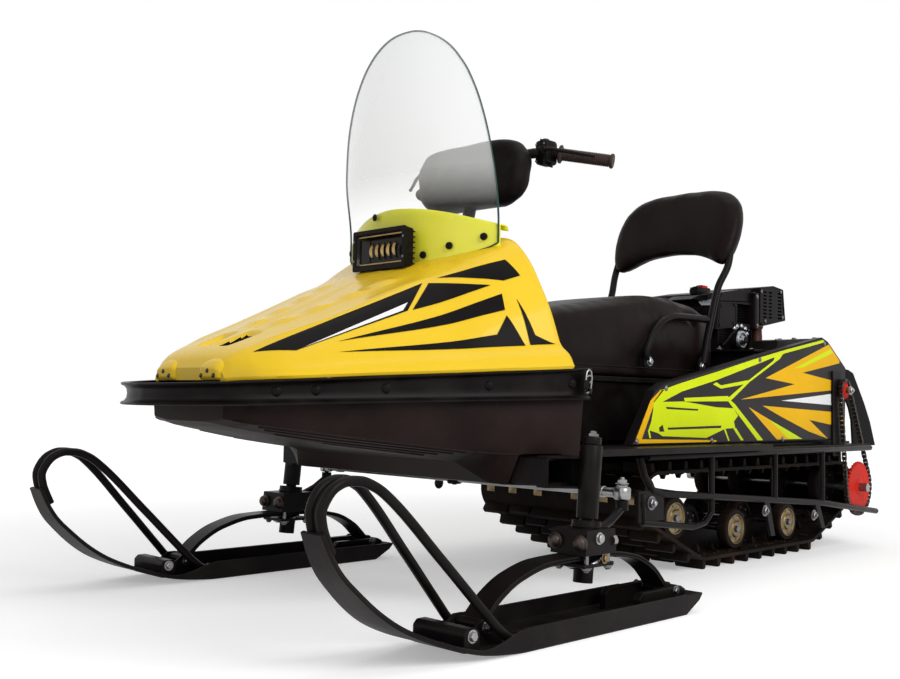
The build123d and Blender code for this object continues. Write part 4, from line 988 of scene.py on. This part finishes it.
# chain links round both
PITCH = 12.7
PLATE = [(-.34, 0), (-.25, 3.2), (0, 4.3), (.3, 4.0), (.5, 3.8), (.7, 4.0), (1, 4.6), (1.25, 3.2), (1.34, 0),
         (1.25, -3.2), (1, -4.6), (.7, -4.0), (.5, -3.8), (.3, -4.0), (0, -4.6), (-.25, -3.2)]
path = tangent_path([(*SMALL_XZ, 28), (*BIG_XZ, 77)], 6)
links = resample(path, 2 * int(sum(math.dist(a, c) for a, c in zip(path, path[1:] + path[:1])) / PITCH / 2))
b = B()
for i, (x, z, _) in enumerate(links):
    x1, z1, _ = links[(i + 1) % len(links)]
    dx, dz = x1 - x, z1 - z
    l = math.hypot(dx, dz)
    w = 3.6 if i % 2 == 0 else 5.0
    outline = [(x + dx * t - dz / l * h, z + dz * t + dx / l * h) for t, h in PLATE]
    for s in (1, -1):
        b.solid([[(a, CHAIN_Y + s * (w + e), c) for a, c in outline] for e in (-.6, .6)], "chain_steel", smooth=False)
    b.lathe((x, CHAIN_Y - 6, z), Y1, [(0, 2.2), (12, 2.2)], "chain_steel", 8)
    b.lathe((x, CHAIN_Y - 3, z), Y1, [(0, 5.2), (6, 5.2)], "chain_steel", 12)
b.obj("roller_chain", "chassis", replaces=("drive_chain",), slot="chain_steel", weld=0)

# ------------------------------------------------------------ soft pieces
def points_of(me):
    co = np.empty(len(me.vertices) * 3)
    me.vertices.foreach_get("co", co)
    return co.reshape(-1, 3)


def bake(o):
    """the modifiers of a piece made part of its mesh"""
    me = bpy.data.meshes.new_from_object(o.evaluated_get(bpy.context.evaluated_depsgraph_get()))
    o.modifiers.clear()
    o.data = me
    return me


def remesh(o, size):
    md = o.modifiers.new("r", "REMESH")
    md.mode = "VOXEL"
    md.voxel_size = size
    md.use_smooth_shade = True
    mats = list(o.data.materials)
    me = bake(o)
    me.materials.clear()
    for m in mats:
        me.materials.append(m)
    me.polygons.foreach_set("use_smooth", [True] * len(me.polygons))


CLOTH_FRAMES = 20


def puff(o, size, cap, pressure=4.0, keep=None):
    """stuff a cover: remesh, blow up with cloth, and keep each point within cap (m) of where it was"""
    remesh(o, size)
    me = o.data
    base = points_of(me)
    c = o.modifiers.new("c", "CLOTH").settings
    c.use_pressure = True
    c.uniform_pressure_force = pressure
    c.effector_weights.gravity = 0
    c.quality = 4
    c.tension_stiffness = c.compression_stiffness = 12
    c.bending_stiffness = .6
    for f in range(CLOTH_FRAMES):
        bpy.context.scene.frame_set(f + 1)
    ev = o.evaluated_get(bpy.context.evaluated_depsgraph_get())
    d = points_of(ev.data) - base
    o.modifiers.clear()
    bpy.context.scene.frame_set(1)
    k = np.minimum(1, cap / np.maximum(np.linalg.norm(d, axis=1), 1e-9))
    co = base + d * k[:, None]
    if keep is not None:
        co = keep(base, co)
    me.vertices.foreach_set("co", co.ravel())
    me.update()


def hug(o, pts, sink=.4):
    """the points laid on a stuffed cover's skin"""
    tree = BVHTree.FromObject(o, bpy.context.evaluated_depsgraph_get())
    out = []
    for p in pts:
        co, nn = tree.find_nearest(Vector(W(p)))[:2]
        co = (co - nn * sink / 1000) * 1000
        out.append((co.x - DX, co.y, co.z))
    return out


def shift(o, fn):
    """the points of a piece moved by fn, which works on them in the working frame, mm"""
    me = o.data
    co = fn(points_of(me) * 1000 - np.array([DX, 0, 0]))
    me.vertices.foreach_set("co", ((co + np.array([DX, 0, 0])) / 1000).ravel())
    me.update()


def ease(o, rounds):
    md = o.modifiers.new("s", "SMOOTH")
    md.iterations = rounds
    md.factor = .5
    bake(o)


def top_up(o):
    md = o.modifiers.new("sub", "SUBSURF")
    md.levels = md.render_levels = 1


# seat: sections along x as (x, top z, bottom z, half width); top crowned, sides bowed, a passenger swell at the back
ST = [(-122, 545, 478, 118), (-135, 560, 470, 138), (-200, 583, 464, 146), (-270, 602, 463, 148),
      (-400, 623, 463, 148), (-550, 648, 463, 148), (-680, 664, 463, 148), (-780, 665, 463, 148),
      (-870, 653, 463, 147), (-920, 636, 463, 144), (-945, 612, 464, 140), (-956, 570, 465, 132)]
b = B()
rows = []
for x, zt, zb, h in ST:
    left = [(-h, zb), (-h - 1, zb + (zt - zb) * .5), (-h + 2, zt - 4), (-h * .55, zt + 1)]
    sec = left + [(0, zt + 2)] + [(-y, z) for y, z in left[::-1]]
    rows.append(rounded([(x, y, z) for y, z in sec], [6] + [20] * 7 + [6], 6))
b.solid(rows, "seat_vinyl")
seat = b.obj("seat", "chassis", replaces=("seat_cushion",), slot="seat_vinyl", weld=.05)
SEAT_BASE_Z = .475


def seat_keep(base, new):
    new[:, 2] = np.where(base[:, 2] < SEAT_BASE_Z, base[:, 2], new[:, 2])
    return new


puff(seat, .009, .007, keep=seat_keep)


def seat_form(co):
    """pulled in along the lower seam, a groove where the rear cover is sewn on, and slack in the cover"""
    x, y, z = co.T
    low = np.exp(-((z - 486) / 7.0) ** 2)
    co[:, 1] -= np.sign(y) * 2.2 * low * (np.abs(y) > 90)
    s = np.clip((z - 480) / 180, 0, 1)
    groove = np.exp(-((x + 612 + 26 * (1 - s)) / 4.5) ** 2)
    co[:, 2] -= 2.4 * groove * (z > 600)
    co[:, 1] -= np.sign(y) * 1.8 * groove * (np.abs(y) > 120)
    slack = .9 * np.sin(x / 41 + z / 23) * np.sin(z / 31 - x / 77) + .7 * np.sin(x / 90 + 1)
    co[:, 1] += np.sign(y) * slack * (np.abs(y) > 110) * (z > 480)
    return co


shift(seat, seat_form)
ease(seat, 3)
top_up(seat)
b = B()
for s in (1, -1):
    line = spline([(x, s * (h + 1.5), zb + 22) for x, _, zb, h in ST[1:-1]], 80)
    b.tube(hug(seat, line), 2.0, "seat_vinyl", n=8)
b.obj("seat_piping", "chassis", slot="seat_vinyl")

# backrest pad on the bent hoop: its outline as (y, z), leaning back by LEAN
PAD_X, PAD_MID, LEAN = -990, 895, .36
BACK = [(168, 772), (188, 800), (198, 850), (196, 900), (180, 948), (145, 978), (90, 992)]
ARCH = [(130, 786), (70, 803)]
outline = [(-y, z) for y, z in BACK] + [(0, 996)] + BACK[::-1] + ARCH + [(0, 809)] + [(-y, z) for y, z in ARCH[::-1]]
outline = [(y, z) for _, y, z in rounded([(0, y, z) for y, z in outline],
                                         [14 if abs(y) > 160 and z < 790 else 22 for y, z in outline], 4, True)]


def leaning(z):
    return LEAN * (z - 884)


def bowed(y):
    return 8 * (1 - (y / 200) ** 2)


b = B()
rows = []
for d, k in ((-27, .80), (-26, .86), (-21, .93), (-12, .975), (0, .985), (12, .975), (21, .93), (26, .86), (27, .80)):
    # inset by shrinking to a middle line
    full = .35 + .65 * (k - .80) / .185
    sec = []
    for y, z in outline:
        cy, cz = y * .80, PAD_MID + (z - PAD_MID) * .62
        y, z = cy + (y * .985 - cy) * full, cz + (PAD_MID + (z - PAD_MID) * .975 - cz) * full
        sec.append((PAD_X + d - leaning(z) - bowed(y), y, z))
    rows.append(sec)
b.solid(rows, "seat_vinyl")
back = b.obj("back_pad", "chassis", replaces=("backrest_pad",), slot="seat_vinyl", weld=.05)
puff(back, .006, .006, 5.0)
ease(back, 3)


PAD_HALF, PAD_Z0, PAD_Z1 = 196.5, 773, 995


def fill_cover(co):
    """the pad drawn out to its full height and width"""
    lean = co[:, 0] + leaning(co[:, 2])
    co[:, 1] *= PAD_HALF / np.abs(co[:, 1]).max()
    z0, z1 = co[:, 2].min(), co[:, 2].max()
    co[:, 2] = PAD_Z0 + (co[:, 2] - z0) * (PAD_Z1 - PAD_Z0) / (z1 - z0)
    co[:, 0] = lean - leaning(co[:, 2])
    return co


shift(back, fill_cover)
top_up(back)
b = B()
seam = [(PAD_X - 20 - leaning(z) - bowed(y), y * .985, PAD_MID + (z - PAD_MID) * .98) for y, z in outline]
b.tube(hug(back, seam), 1.8, "seat_vinyl", n=8, closed=True)
b.obj("back_piping", "chassis", slot="seat_vinyl")

# pad over the handlebar
b = B()
PY = [(105, 818), (150, 842), (166, 875), (172, 905), (166, 936), (148, 958), (118, 970), (70, 975)]
outline = rounded([(0, y, z) for y, z in PY] + [(0, -y, z) for y, z in PY[::-1]], 18, 4, True)
b.solid([[(x, y * k, 900 + (z - 900) * (1 + (k - 1) * .7)) for _, y, z in outline] for x, k in
         ((-186, .82), (-184, .90), (-176, .955), (-158, .985), (-140, .95), (-128, .89), (-124, .80))], "pad_fabric")
pad = b.obj("bar_pad", "steering", replaces=("handlebar_pad",), slot="pad_fabric", weld=.05)
puff(pad, .006, .005)


def pad_form(co):
    """folds that run down from the bar, and a pressed pocket on each side"""
    x, y, z = co.T
    front = x > -150
    fold = 2.6 * np.sin(y / 11 + 1.2 * np.sin(z / 26)) * np.clip((z - 820) / 90, 0, 1) * np.clip((975 - z) / 60, 0, 1)
    co[:, 0] += np.where(front, fold, 0)
    pocket = np.exp(-(((np.abs(y) - 118) / 30) ** 2 + ((z - 905) / 42) ** 2) ** 2)
    co[:, 0] -= np.where(front, 6 * pocket, 0)
    co[:, 1] += np.sign(y) * 1.8 * np.sin(z / 9) * (np.abs(y) > 140)
    return co


shift(pad, pad_form)
ease(pad, 2)
top_up(pad)

# ------------------------------------------------------------ handlebar group
b = B()
for s in (1, -1):
    a, c = np.array((-226, s * 194, 934.2)), np.array((-282, s * 297, 913.0))
    L = np.linalg.norm(c - a)
    prof = [(0, 11.5), (0, 19), (2, 20), (4.5, 20), (6, 17), (8, 13)]
    t = 9.0
    while t < L - 11:
        prof += [(t, 12.4), (t + .6, 13.5), (t + 2.6, 13.5), (t + 3.2, 12.4)]
        t += 4.4
    prof += [(L - 9, 12.6), (L - 7, 14.5), (L - 5, 16), (L - 2, 16), (L, 14.5), (L, 5), (L - 1, 2)]
    b.lathe(a, c - a, prof, "grip_rubber", 28)
b.obj("ribbed_grips", "steering", replaces=("grips",), slot="grip_rubber")
b = B()
for s in (1, -1):
    b.tube([(-211, s * 166, 940), (-226, s * 194, 934.2), (-250, s * 238, 925)], 11, "black_satin", n=18)
    b.tube([(-196, s * 142, 938), (-213, s * 170, 939)], 11, "black_satin", n=18)
b.obj("bar_ends", "steering", slot="black_satin")
b = B()
cx, cz = -216, 938
for s in (1, -1):
    cy = s * 166
    # clamp body in two halves, with buttons, a rocker and screws
    for x0, x1, y0, y1, z0, z1, mat, r in ((-20, 21, -18, 18, -27, 28, "black_plastic", 9),
                                           (-22, 1, -19.5, 2, -20, 24, "black_plastic", 6),
                                           (-4, 23, -3, 19.5, -25, 12, "black_plastic", 6),
                                           (-21.5, 21.5, -1, 1, -28, 29, "dark_hole", .8)):
        b.box(cx + x0, cx + x1, cy + y0, cy + y1, cz + z0, cz + z1, mat, r)
    for x, y, z, d, prof, mat, n in ((-20, -8, 12, (-1, 0, 0), [(0, 7), (3, 7), (4, 6)], "engine_black", 20),
                                     (-20, 6, -8, (-1, 0, 0), [(0, 6), (3, 6), (4, 5)], "grip_rubber", 20),
                                     (4, 0, 27, Z1, [(0, 9), (3, 8), (4.5, 5), (5, 1)], "black_plastic", 22),
                                     (0, s * 10, -27, (0, 0, -1), [(0, 6), (3, 5), (4, 2)], "black_plastic", 18)):
        b.lathe((cx + x, cy + y, cz + z), d, prof, mat, n)
    for y in (-11, 11):
        for z in (17, -19):
            b.bolt((cx + 20.5, cy + y, cz + z), X1, 2.6, 2.2, washer=False)
b.obj("switch_clusters", "steering", replaces=("switch_housings",), slot="black_plastic")
# levers ahead of the grips
b = B()
for s in (1, -1):
    lever = [(-196, 176, 940), (-188, 192, 939), (-196, 222, 932), (-216, 256, 924), (-232, 284, 917)]
    b.tube(spline([(x, s * y, z) for x, y, z in lever], 26), [5.0 - 1.6 * (i / 25) for i in range(24)] + [3.6, 4.4],
           "black_satin", n=12)
    b.box(-206, -186, s * 174 - 9, s * 174 + 9, 930, 950, "black_satin", 5)
b.obj("hand_levers", "steering", slot="black_satin")

# bar clamp on the column
b = B()
b.box(-192, -166, -34, 34, 916, 946, "black_satin", 5)
for s in (1, -1):
    for x in (-187, -171):
        b.bolt((x, s * 24, 946), (-.05, 0, 1), 4.5, 5)
b.obj("bar_clamp", "steering", slot="black_satin")

# ------------------------------------------------------------ side panel graphics
def flat_decal(b, poly, y, mat, side):
    bm = bmesh.new()
    bm.faces.new([bm.verts.new((x, side * y, z)) for x, z in poly])
    bm.normal_update()
    bmesh.ops.triangulate(bm, faces=bm.faces[:])
    b.add_bm(bm, mat, False)


# (layer, colour, outline as (x, z)); each lies layer * LAYER mm outside the panel, so that none cuts another
PANEL_Y, LAYER = 285, .35
PANEL = [
    (.5, "decal_grey", [(-381, 310), (-463, 425), (-500, 442.5), (-592, 459.5), (-910, 520.5), (-1278, 588.5),
        (-1312, 579), (-1421.5, 510), (-1416, 310)]),
    (.9, "decal_orange", [(-384, 311), (-444, 405), (-484, 430), (-498, 430), (-462, 404), (-412, 320),
        (-722, 314), (-722, 310)]),
    (.9, "decal_lime", [(-456, 402), (-490, 430), (-571, 448), (-721, 478), (-898, 515), (-1063, 547),
        (-1281, 585), (-1296, 580), (-1063, 538), (-1009, 526), (-721, 458), (-571, 428), (-495, 404), (-465, 397)]),
    (1.2, "decal_lime", [(-1059, 542), (-1036, 523), (-877, 457), (-791, 411), (-771, 414), (-856, 454),
        (-1001, 516), (-1009, 529)]),
    (1.5, "decal_lime", [(-721, 453), (-742, 446), (-870, 462), (-859, 452), (-742, 438), (-705, 448)]),
    (.9, "decal_lime", [(-579, 413), (-774, 421), (-791, 411), (-774, 408), (-584, 405)]),
    (1.5, "decal_lime", [(-785, 412), (-808, 401), (-948, 311), (-919, 311), (-774, 409)]),
    (1.2, "decal_lime", [(-456, 402), (-578, 405), (-721, 393), (-801, 391), (-823, 373), (-803, 359),
        (-810, 343), (-761, 341), (-677, 320), (-492, 326), (-474, 333), (-437, 340), (-448, 359), (-455, 384)]),
    (.9, "decal_lime", [(-757, 340), (-764, 341), (-783, 312), (-776, 312)]),
    (.9, "decal_lime", [(-800, 342), (-813, 343), (-851, 312), (-837, 312)]),
    (.9, "decal_lime", [(-435, 340), (-441, 340), (-448, 322), (-441, 322)]),
    (.9, "decal_orange", [(-960, 470), (-1318, 574), (-1386, 531), (-1384, 524), (-1163, 490), (-1118, 458)]),
    (.9, "decal_orange", [(-1163, 490), (-1410, 467), (-1410, 451), (-834, 413), (-1118, 458)]),
    (1.3, "decal_lime", [(-1110, 499), (-1327, 562), (-1346, 552), (-1167, 505)]),
    (.9, "decal_white", [(-1044, 413), (-1412, 442), (-1412, 402)]),
    (.9, "decal_orange", [(-944, 399), (-1410, 383), (-1410, 341), (-1200, 363), (-1311, 311), (-1200, 331),
        (-1040, 372)]),
    (.9, "decal_orange", [(-874, 395), (-979, 364), (-1085, 312), (-1020, 312)]),
    (.9, "decal_lime", [(-979, 364), (-1160, 312), (-1085, 312)]),
    # plain plate in the lime field, and small accents round it
    (1.7, "decal_grey", [(-505, 392), (-640, 388), (-640, 384), (-508, 387)]),
    (1.7, "decal_grey", [(-512, 345), (-745, 349), (-742, 343), (-515, 340)]),
    (1.7, "decal_grey", [(-478, 345), (-492, 352), (-500, 336), (-480, 336)]),
]
b = B()
for s in (1, -1):
    for layer, mat, poly in PANEL:
        flat_decal(b, poly, PANEL_Y + layer * LAYER, mat, s)
b.obj("panel_graphics", "chassis", slot="panel_yellow", weld=0)
b = B()
for s in (1, -1):
    for x, z in ((-392, 315), (-1402, 320), (-700, 313), (-1050, 313), (-1290, 574), (-930, 516), (-505, 434)):
        b.bolt((x, s * 285.8, z), (0, s, 0), 4.2, 3, "bolt_steel")
b.obj("panel_screws", "chassis", slot="steel")
for name in ("side_panel_left", "side_panel_right"):
    frame["nodes"][name].data.materials[0] = MATS["decal_black"]


# ------------------------------------------------------------ engine details
def bolts(b, spots, d, *size, **kw):
    for p in spots:
        b.bolt(p, d, *size, **kw)


def boxes(b, mat, r, *blocks):
    for q in blocks:
        b.box(*q, mat, r)


b = B()
# shroud: cooling fins in the dark recess, screws, seam and slots; the sheet at the back of the recess, the fins and
# the slots are coloured near black as painted shade
boxes(b, "dark_hole", .4, (-1238, -1158, 64, 66.6, 632, 688))
boxes(b, "dark_hole", .5, *[(-1236, -1160, 60, 72, 636 + 7.2 * i, 638 + 7.2 * i) for i in range(7)])
bolts(b, [(x, 90, z) for x, z in ((-1064, 622), (-1072, 676), (-1144, 682), (-1140, 630))], Y1, 3.6, 3, "black_satin")
b.tube([(x, 90.3, z) for x, z in ((-1056, 612), (-1068, 682), (-1150, 688), (-1152, 624), (-1056, 612))], 1.1,
       "black_satin", n=8)
boxes(b, "dark_hole", .6, *[(-1050, -1046.2, -80 + 30 * i, -62 + 30 * i, 624, 668) for i in range(5)])
boxes(b, "black_satin", 4, (-1264, -1239, 72, 101.5, 618, 726))
bolts(b, [(-1251, 101, 714), (-1251, 101, 630)], Y1, 4, 3, "bolt_steel")
# cylinder side: ribs of the crankcase, feet bolts, stubs and pipes
boxes(b, "engine_black", .8, *[(-1258, -1090, 60, 76, 575 + 8 * i, 577.5 + 8 * i) for i in range(6)])
bolts(b, [(x, y, 554) for x in (-1250, -1084) for y in (-100, 78)], Z1, 5.5, 5, nut=True)
for x, z in ((-1146, 616), (-1160, 622), (-1184, 624), (-1205, 618), (-1216, 604)):
    b.lathe((x, 76, z), Y1, [(0, 7.5), (14, 7.5), (16, 6), (17, 3)], "alu", 16)
b.tube([(-1098, 78, 566), (-1110, 84, 578), (-1128, 88, 598), (-1150, 90, 612)], 4.5, "engine_black", n=10)
b.tube([(-1226, 84, 566), (-1232, 92, 592), (-1222, 96, 616)], 3.6, "engine_black", n=10)
# clutch drum
DRUM_X, DRUM_Z = -1171, 584
b.lathe((DRUM_X, 92, DRUM_Z), Y1, [(0, 27.4), (1.5, 28.2), (5, 28.2), (7, 27), (9, 25.5), (10, 21), (8.5, 18.5),
                                   (8.5, 12), (11, 11), (17, 10.4), (19, 8.5), (19.4, 3)], "alu", 44)
# four holes in the drum's face, drawn as near-black dots: painted shade
for q in ring(4) + .5:
    b.lathe((DRUM_X + 15 * math.cos(q), 100.4, DRUM_Z + 15 * math.sin(q)), Y1, [(0, 2.6), (1.2, 2.2)],
            "dark_hole", 12)
b.obj("engine_fittings", "chassis", slot="engine_black", weld=0)
b = B()
# tray lid with its light edge, filler cap, red switch
b.tube([(-1006, 40.4, 692), (-1036, 40.4, 703), (-1090, 40.4, 709), (-1172, 40.4, 717)], 2.0, "engine_black", n=10)
b.prism([(-1060, 26, 689), (-1060, 74, 694), (-1060, 74, 675), (-1060, 36, 677)], (-3, 0, 0), (3, 0, 0), "alu", 1)
b.box(-1148, -1077, -15, 11, 710, 731, "black_plastic", 4)
b.box(-1138, -1103, -13, 9, 728, 741.5, "red_paint", 5)
b.box(-1100, -1084, -11, 7, 728, 736, "engine_black", 3)
b.lathe((-1205, -60, 729), Z1, [(0, 30), (3, 31), (10, 31), (14, 29), (16, 24), (17, 6)], "black_plastic", 40)
# guard: rim, screws, and the exhaust behind the slots
b.tube([(x, 100.4, z) for x, z in ((-1268, 640), (-1270, 740), (-1348, 752), (-1405, 746), (-1418, 657), (-1287, 633),
                                   (-1268, 640))], 1.6, "black_plastic", n=8)
bolts(b, [(x, 100.5, z) for x, z in ((-1278, 732), (-1300, 646), (-1404, 664), (-1394, 740))], Y1, 3.4, 2.4)
b.lathe((-1280, 83, 548), Z1, [(0, 20), (5, 20), (6, 15.5), (22, 15), (50, 16.5), (72, 15.2), (78, 19), (84, 19),
                               (85, 16)], "pipe_rust", 26)
for y in (-60, 0, 60):
    b.lathe((-1345, y, 696), Y1, [(0, 36.2), (2, 37.4), (4, 36.2)], "pipe_rust", 36)
b.obj("tank_and_guard_fittings", "chassis", slot="black_plastic", weld=0)

# screws along the low cover and the deck
b = B()
bolts(b, [(-1200, 190, 583), (-1300, 190, 592), (-1425, 190, 600)]
      + [(x, y, z) for x, z in ((-1436, 598), (-1350, 594.5)) for y in (-165, 0, 120)]
      + [(x, y, 546) for y in (228, -228) for x in (-990, -1120, -1430)], Z1, 4.5, 3.5)
b.obj("deck_screws", "chassis", slot="steel")


# ------------------------------------------------------------ grab handles, backrest hoop
def foot(b, poly, y0, y1):
    """rounded foot plate cut to poly (x, z), from y0 to y1"""
    b.prism(rounded([(x, 0, z) for x, z in poly], 8, 4, True), (0, y0, 0), (0, y1, 0), "black_satin", 1)


TUBE_R = 9.4
b = B()
b.tube(spline([(-604, 162, 505), (-600, 165, 519), (-611, 168, 548), (-638, 168, 580), (-676, 168, 605),
               (-727, 168, 617), (-800, 168, 618.5), (-868, 169, 619)], 70), TUBE_R, "black_satin", n=20)
foot(b, [(-632, 486), (-594, 486), (-592, 512), (-612, 522), (-630, 508)], 160, 165.5)
b.bolt((-616, 165.5, 500), Y1, 7.5, 6, "alu")
b.mirror()
b.obj("grab_tubes", "chassis", replaces=("grab_handles",), slot="black_satin")
b = B()
HP = [(-849, 170, 504), (-868, 170, 569), (-896, 170, 648), (-917, 171, 704), (-951, 182, 771), (-983, 172, 860),
      (-994, 150, 888), (-997, 118, 895)]
b.tube(spline(HP + [(-997, 0, 895)] + [(x, -y, z) for x, y, z in HP[::-1]], 150), TUBE_R, "black_satin", n=20)
for s in (1, -1):
    y = 166 if s > 0 else -170
    foot(b, [(-862, 482), (-826, 482), (-828, 512), (-846, 524), (-862, 508)], y, y + s * 5)
    b.bolt((-843, s * 171, 496), (0, s, 0), 7.5, 6, "alu")
b.obj("backrest_hoop", "chassis", replaces=("backrest_frame",), slot="black_satin")

# ------------------------------------------------------------ latches, rail bolts
b = B()
b.box(-64, -40, 410, 412.5, 415, 462, "black_satin", 1)
b.box(-62, -44, 411, 415, 417, 428, "black_satin", 1.5)
b.tube([(-58, 414, 424), (-60, 415, 444), (-57, 415.4, 456), (-50, 415.4, 460), (-44, 415.4, 455), (-43, 414, 440)],
       1.7, "steel", n=10)
b.tube([(-60, 414, 446), (-52, 416, 449), (-43, 414, 446)], 1.6, "steel", n=10)
b.bolt((-50, 412, 421), Y1, 4, 3, "steel")
b.bolt((-60, 412, 436), Y1, 2.6, 2, "steel")
b.mirror()
b.obj("latch_clips", "chassis", replaces=("hood_latches",), slot="steel")
b = B()
b.bolt((-392, 325.5, 185), Y1, 10, 8, "bolt_steel")
b.lathe((-392, 333, 185), Y1, [(0, 5.5), (4, 5.5), (5, 4)], "alu", 16)
bolts(b, [(-882, 326.5, 140), (-1142, 326.5, 113)], Y1, 9, 7, "bolt_steel", nut=True)
b.mirror()
b.obj("rail_bolts", "chassis", slot="steel")

# ledge of the pan inside the bumper, and the boot where the steering column comes through
b = B()
rows = []
for (x, y), tx, ty in along(PLAN):
    if x > -64:
        z, w = bumper_z(x)[0] + 9, 14 + 38 * smooth01(x, 300, 460)
        rows.append([(x + ty * d, y - tx * d, z + e)
                     for d, e in ((1, 0), (.4 * w, -1), (w, -3), (w, -6), (.4 * w, -4), (1, -3))])
b.solid(rows, "black_satin")
b.obj("nose_ledge", "chassis", slot="belly_plastic")
b = B()
COL_TILT = -.2718
b.lathe((-8.85 + COL_TILT * 100, 0, 400), (COL_TILT, 0, 1),
        [(0, 25.5)] + [(6 + 8 * i, 25.5 - 1.6 * (i % 2)) for i in range(12)] + [(104, 22), (114, 18)],
        "flap_rubber", 36, caps=False)
b.obj("column_boot", "chassis", slot="black_plastic", solid=1.2)


# ------------------------------------------------------------ stage, light, camera
def add_object(name, data):
    o = bpy.data.objects.new(name, data)
    bpy.context.collection.objects.link(o)
    return o


def seen(nt, hidden, shown):
    """strength for what camera, mirror and glass rays see, and for the rest"""
    lp = nd(nt, "ShaderNodeLightPath")
    out = lp.outputs["Is Camera Ray"]
    for k in ("Is Glossy Ray", "Is Transmission Ray"):
        out = nd(nt, "ShaderNodeMath", (0, out), (1, lp.outputs[k]), operation="MAXIMUM").outputs[0]
    return nd(nt, "ShaderNodeMapRange", ("Value", out), To_Min=hidden, To_Max=shown).outputs[0]


FLOOR = 40          # half width, m
me = bpy.data.meshes.new("floor")
me.from_pydata([(-FLOOR, -FLOOR, 0), (FLOOR, -FLOOR, 0), (FLOOR, FLOOR, 0), (-FLOOR, FLOOR, 0)], [], [(0, 1, 2, 3)])
floor = add_object("floor", me)
fm, nt, bs = new_material("floor_white")
bs.inputs["Base Color"].default_value = (.80, .80, .80, 1)
bs.inputs["Roughness"].default_value = .9
bs.inputs["Specular IOR Level"].default_value = .1
bs.inputs["Emission Color"].default_value = (1, 1, 1, 1)
# white towards the backdrop, and a softer ground under the machine
geo = nd(nt, "ShaderNodeNewGeometry")
dist = nd(nt, "ShaderNodeVectorMath", (0, geo.outputs["Position"]), operation="LENGTH")
far = nd(nt, "ShaderNodeMapRange", ("Value", dist.outputs["Value"]), interpolation_type="SMOOTHSTEP",
         From_Min=1.0, From_Max=3.2, To_Min=.34, To_Max=.66)
glow = nd(nt, "ShaderNodeMath", (0, seen(nt, 0, 1.0)), (1, far.outputs[0]), operation="MULTIPLY")
nt.links.new(glow.outputs[0], bs.inputs["Emission Strength"])
me.materials.append(fm)
world = bpy.context.scene.world = bpy.data.worlds.new("studio")
world.use_nodes = True
bg = world.node_tree.nodes["Background"]
bg.inputs[0].default_value = (1, 1, 1, 1)
world.node_tree.links.new(seen(world.node_tree, .50, 1.0), bg.inputs[1])


def area(name, loc, target, size, energy):
    """square lamp at loc, aimed at target"""
    light = bpy.data.lights.new(name, "AREA")
    light.energy = energy
    light.size = size
    o = add_object(name, light)
    o.location = loc
    o.rotation_euler = (Vector(target) - Vector(loc)).to_track_quat("-Z", "Y").to_euler()


area("key", (.6, 3.2, 2.3), (0, 0, .4), 2.0, 80)
area("front", (3.2, .9, 1.6), (.2, 0, .5), 1.6, 9)
area("top", (-.6, .2, 3.4), (-.3, 0, .4), 2.2, 14)

# the photo's view: place in the working frame (m), heading, pitch and roll (degrees)
CAM_AT, CAM_HEADING, CAM_PITCH, CAM_ROLL = (1.5505, 1.6413, .3963), 224.9141, 3.2960, 1.0767
cd = bpy.data.cameras.new("camera")
cam = add_object("camera", cd)
cd.lens, cd.sensor_width, cd.clip_start, cd.clip_end = 42.595, 36, .05, 300
az, el, ro = (math.radians(a) for a in (CAM_HEADING, CAM_PITCH, CAM_ROLL))
fwd = Vector((math.cos(az) * math.cos(el), math.sin(az) * math.cos(el), math.sin(el)))
level = fwd.cross(Vector((0, 0, 1))).normalized()
right = math.cos(ro) * level + math.sin(ro) * level.cross(fwd)
up = math.cos(ro) * level.cross(fwd) - math.sin(ro) * level
cam.matrix_world = Matrix(((right.x, up.x, -fwd.x, CAM_AT[0] + DX / 1000), (right.y, up.y, -fwd.y, CAM_AT[1]),
                           (right.z, up.z, -fwd.z, CAM_AT[2]), (0, 0, 0, 1)))
bpy.context.scene.camera = cam
bpy.context.scene.view_settings.view_transform = "Standard"

bpy.context.view_layer.update()
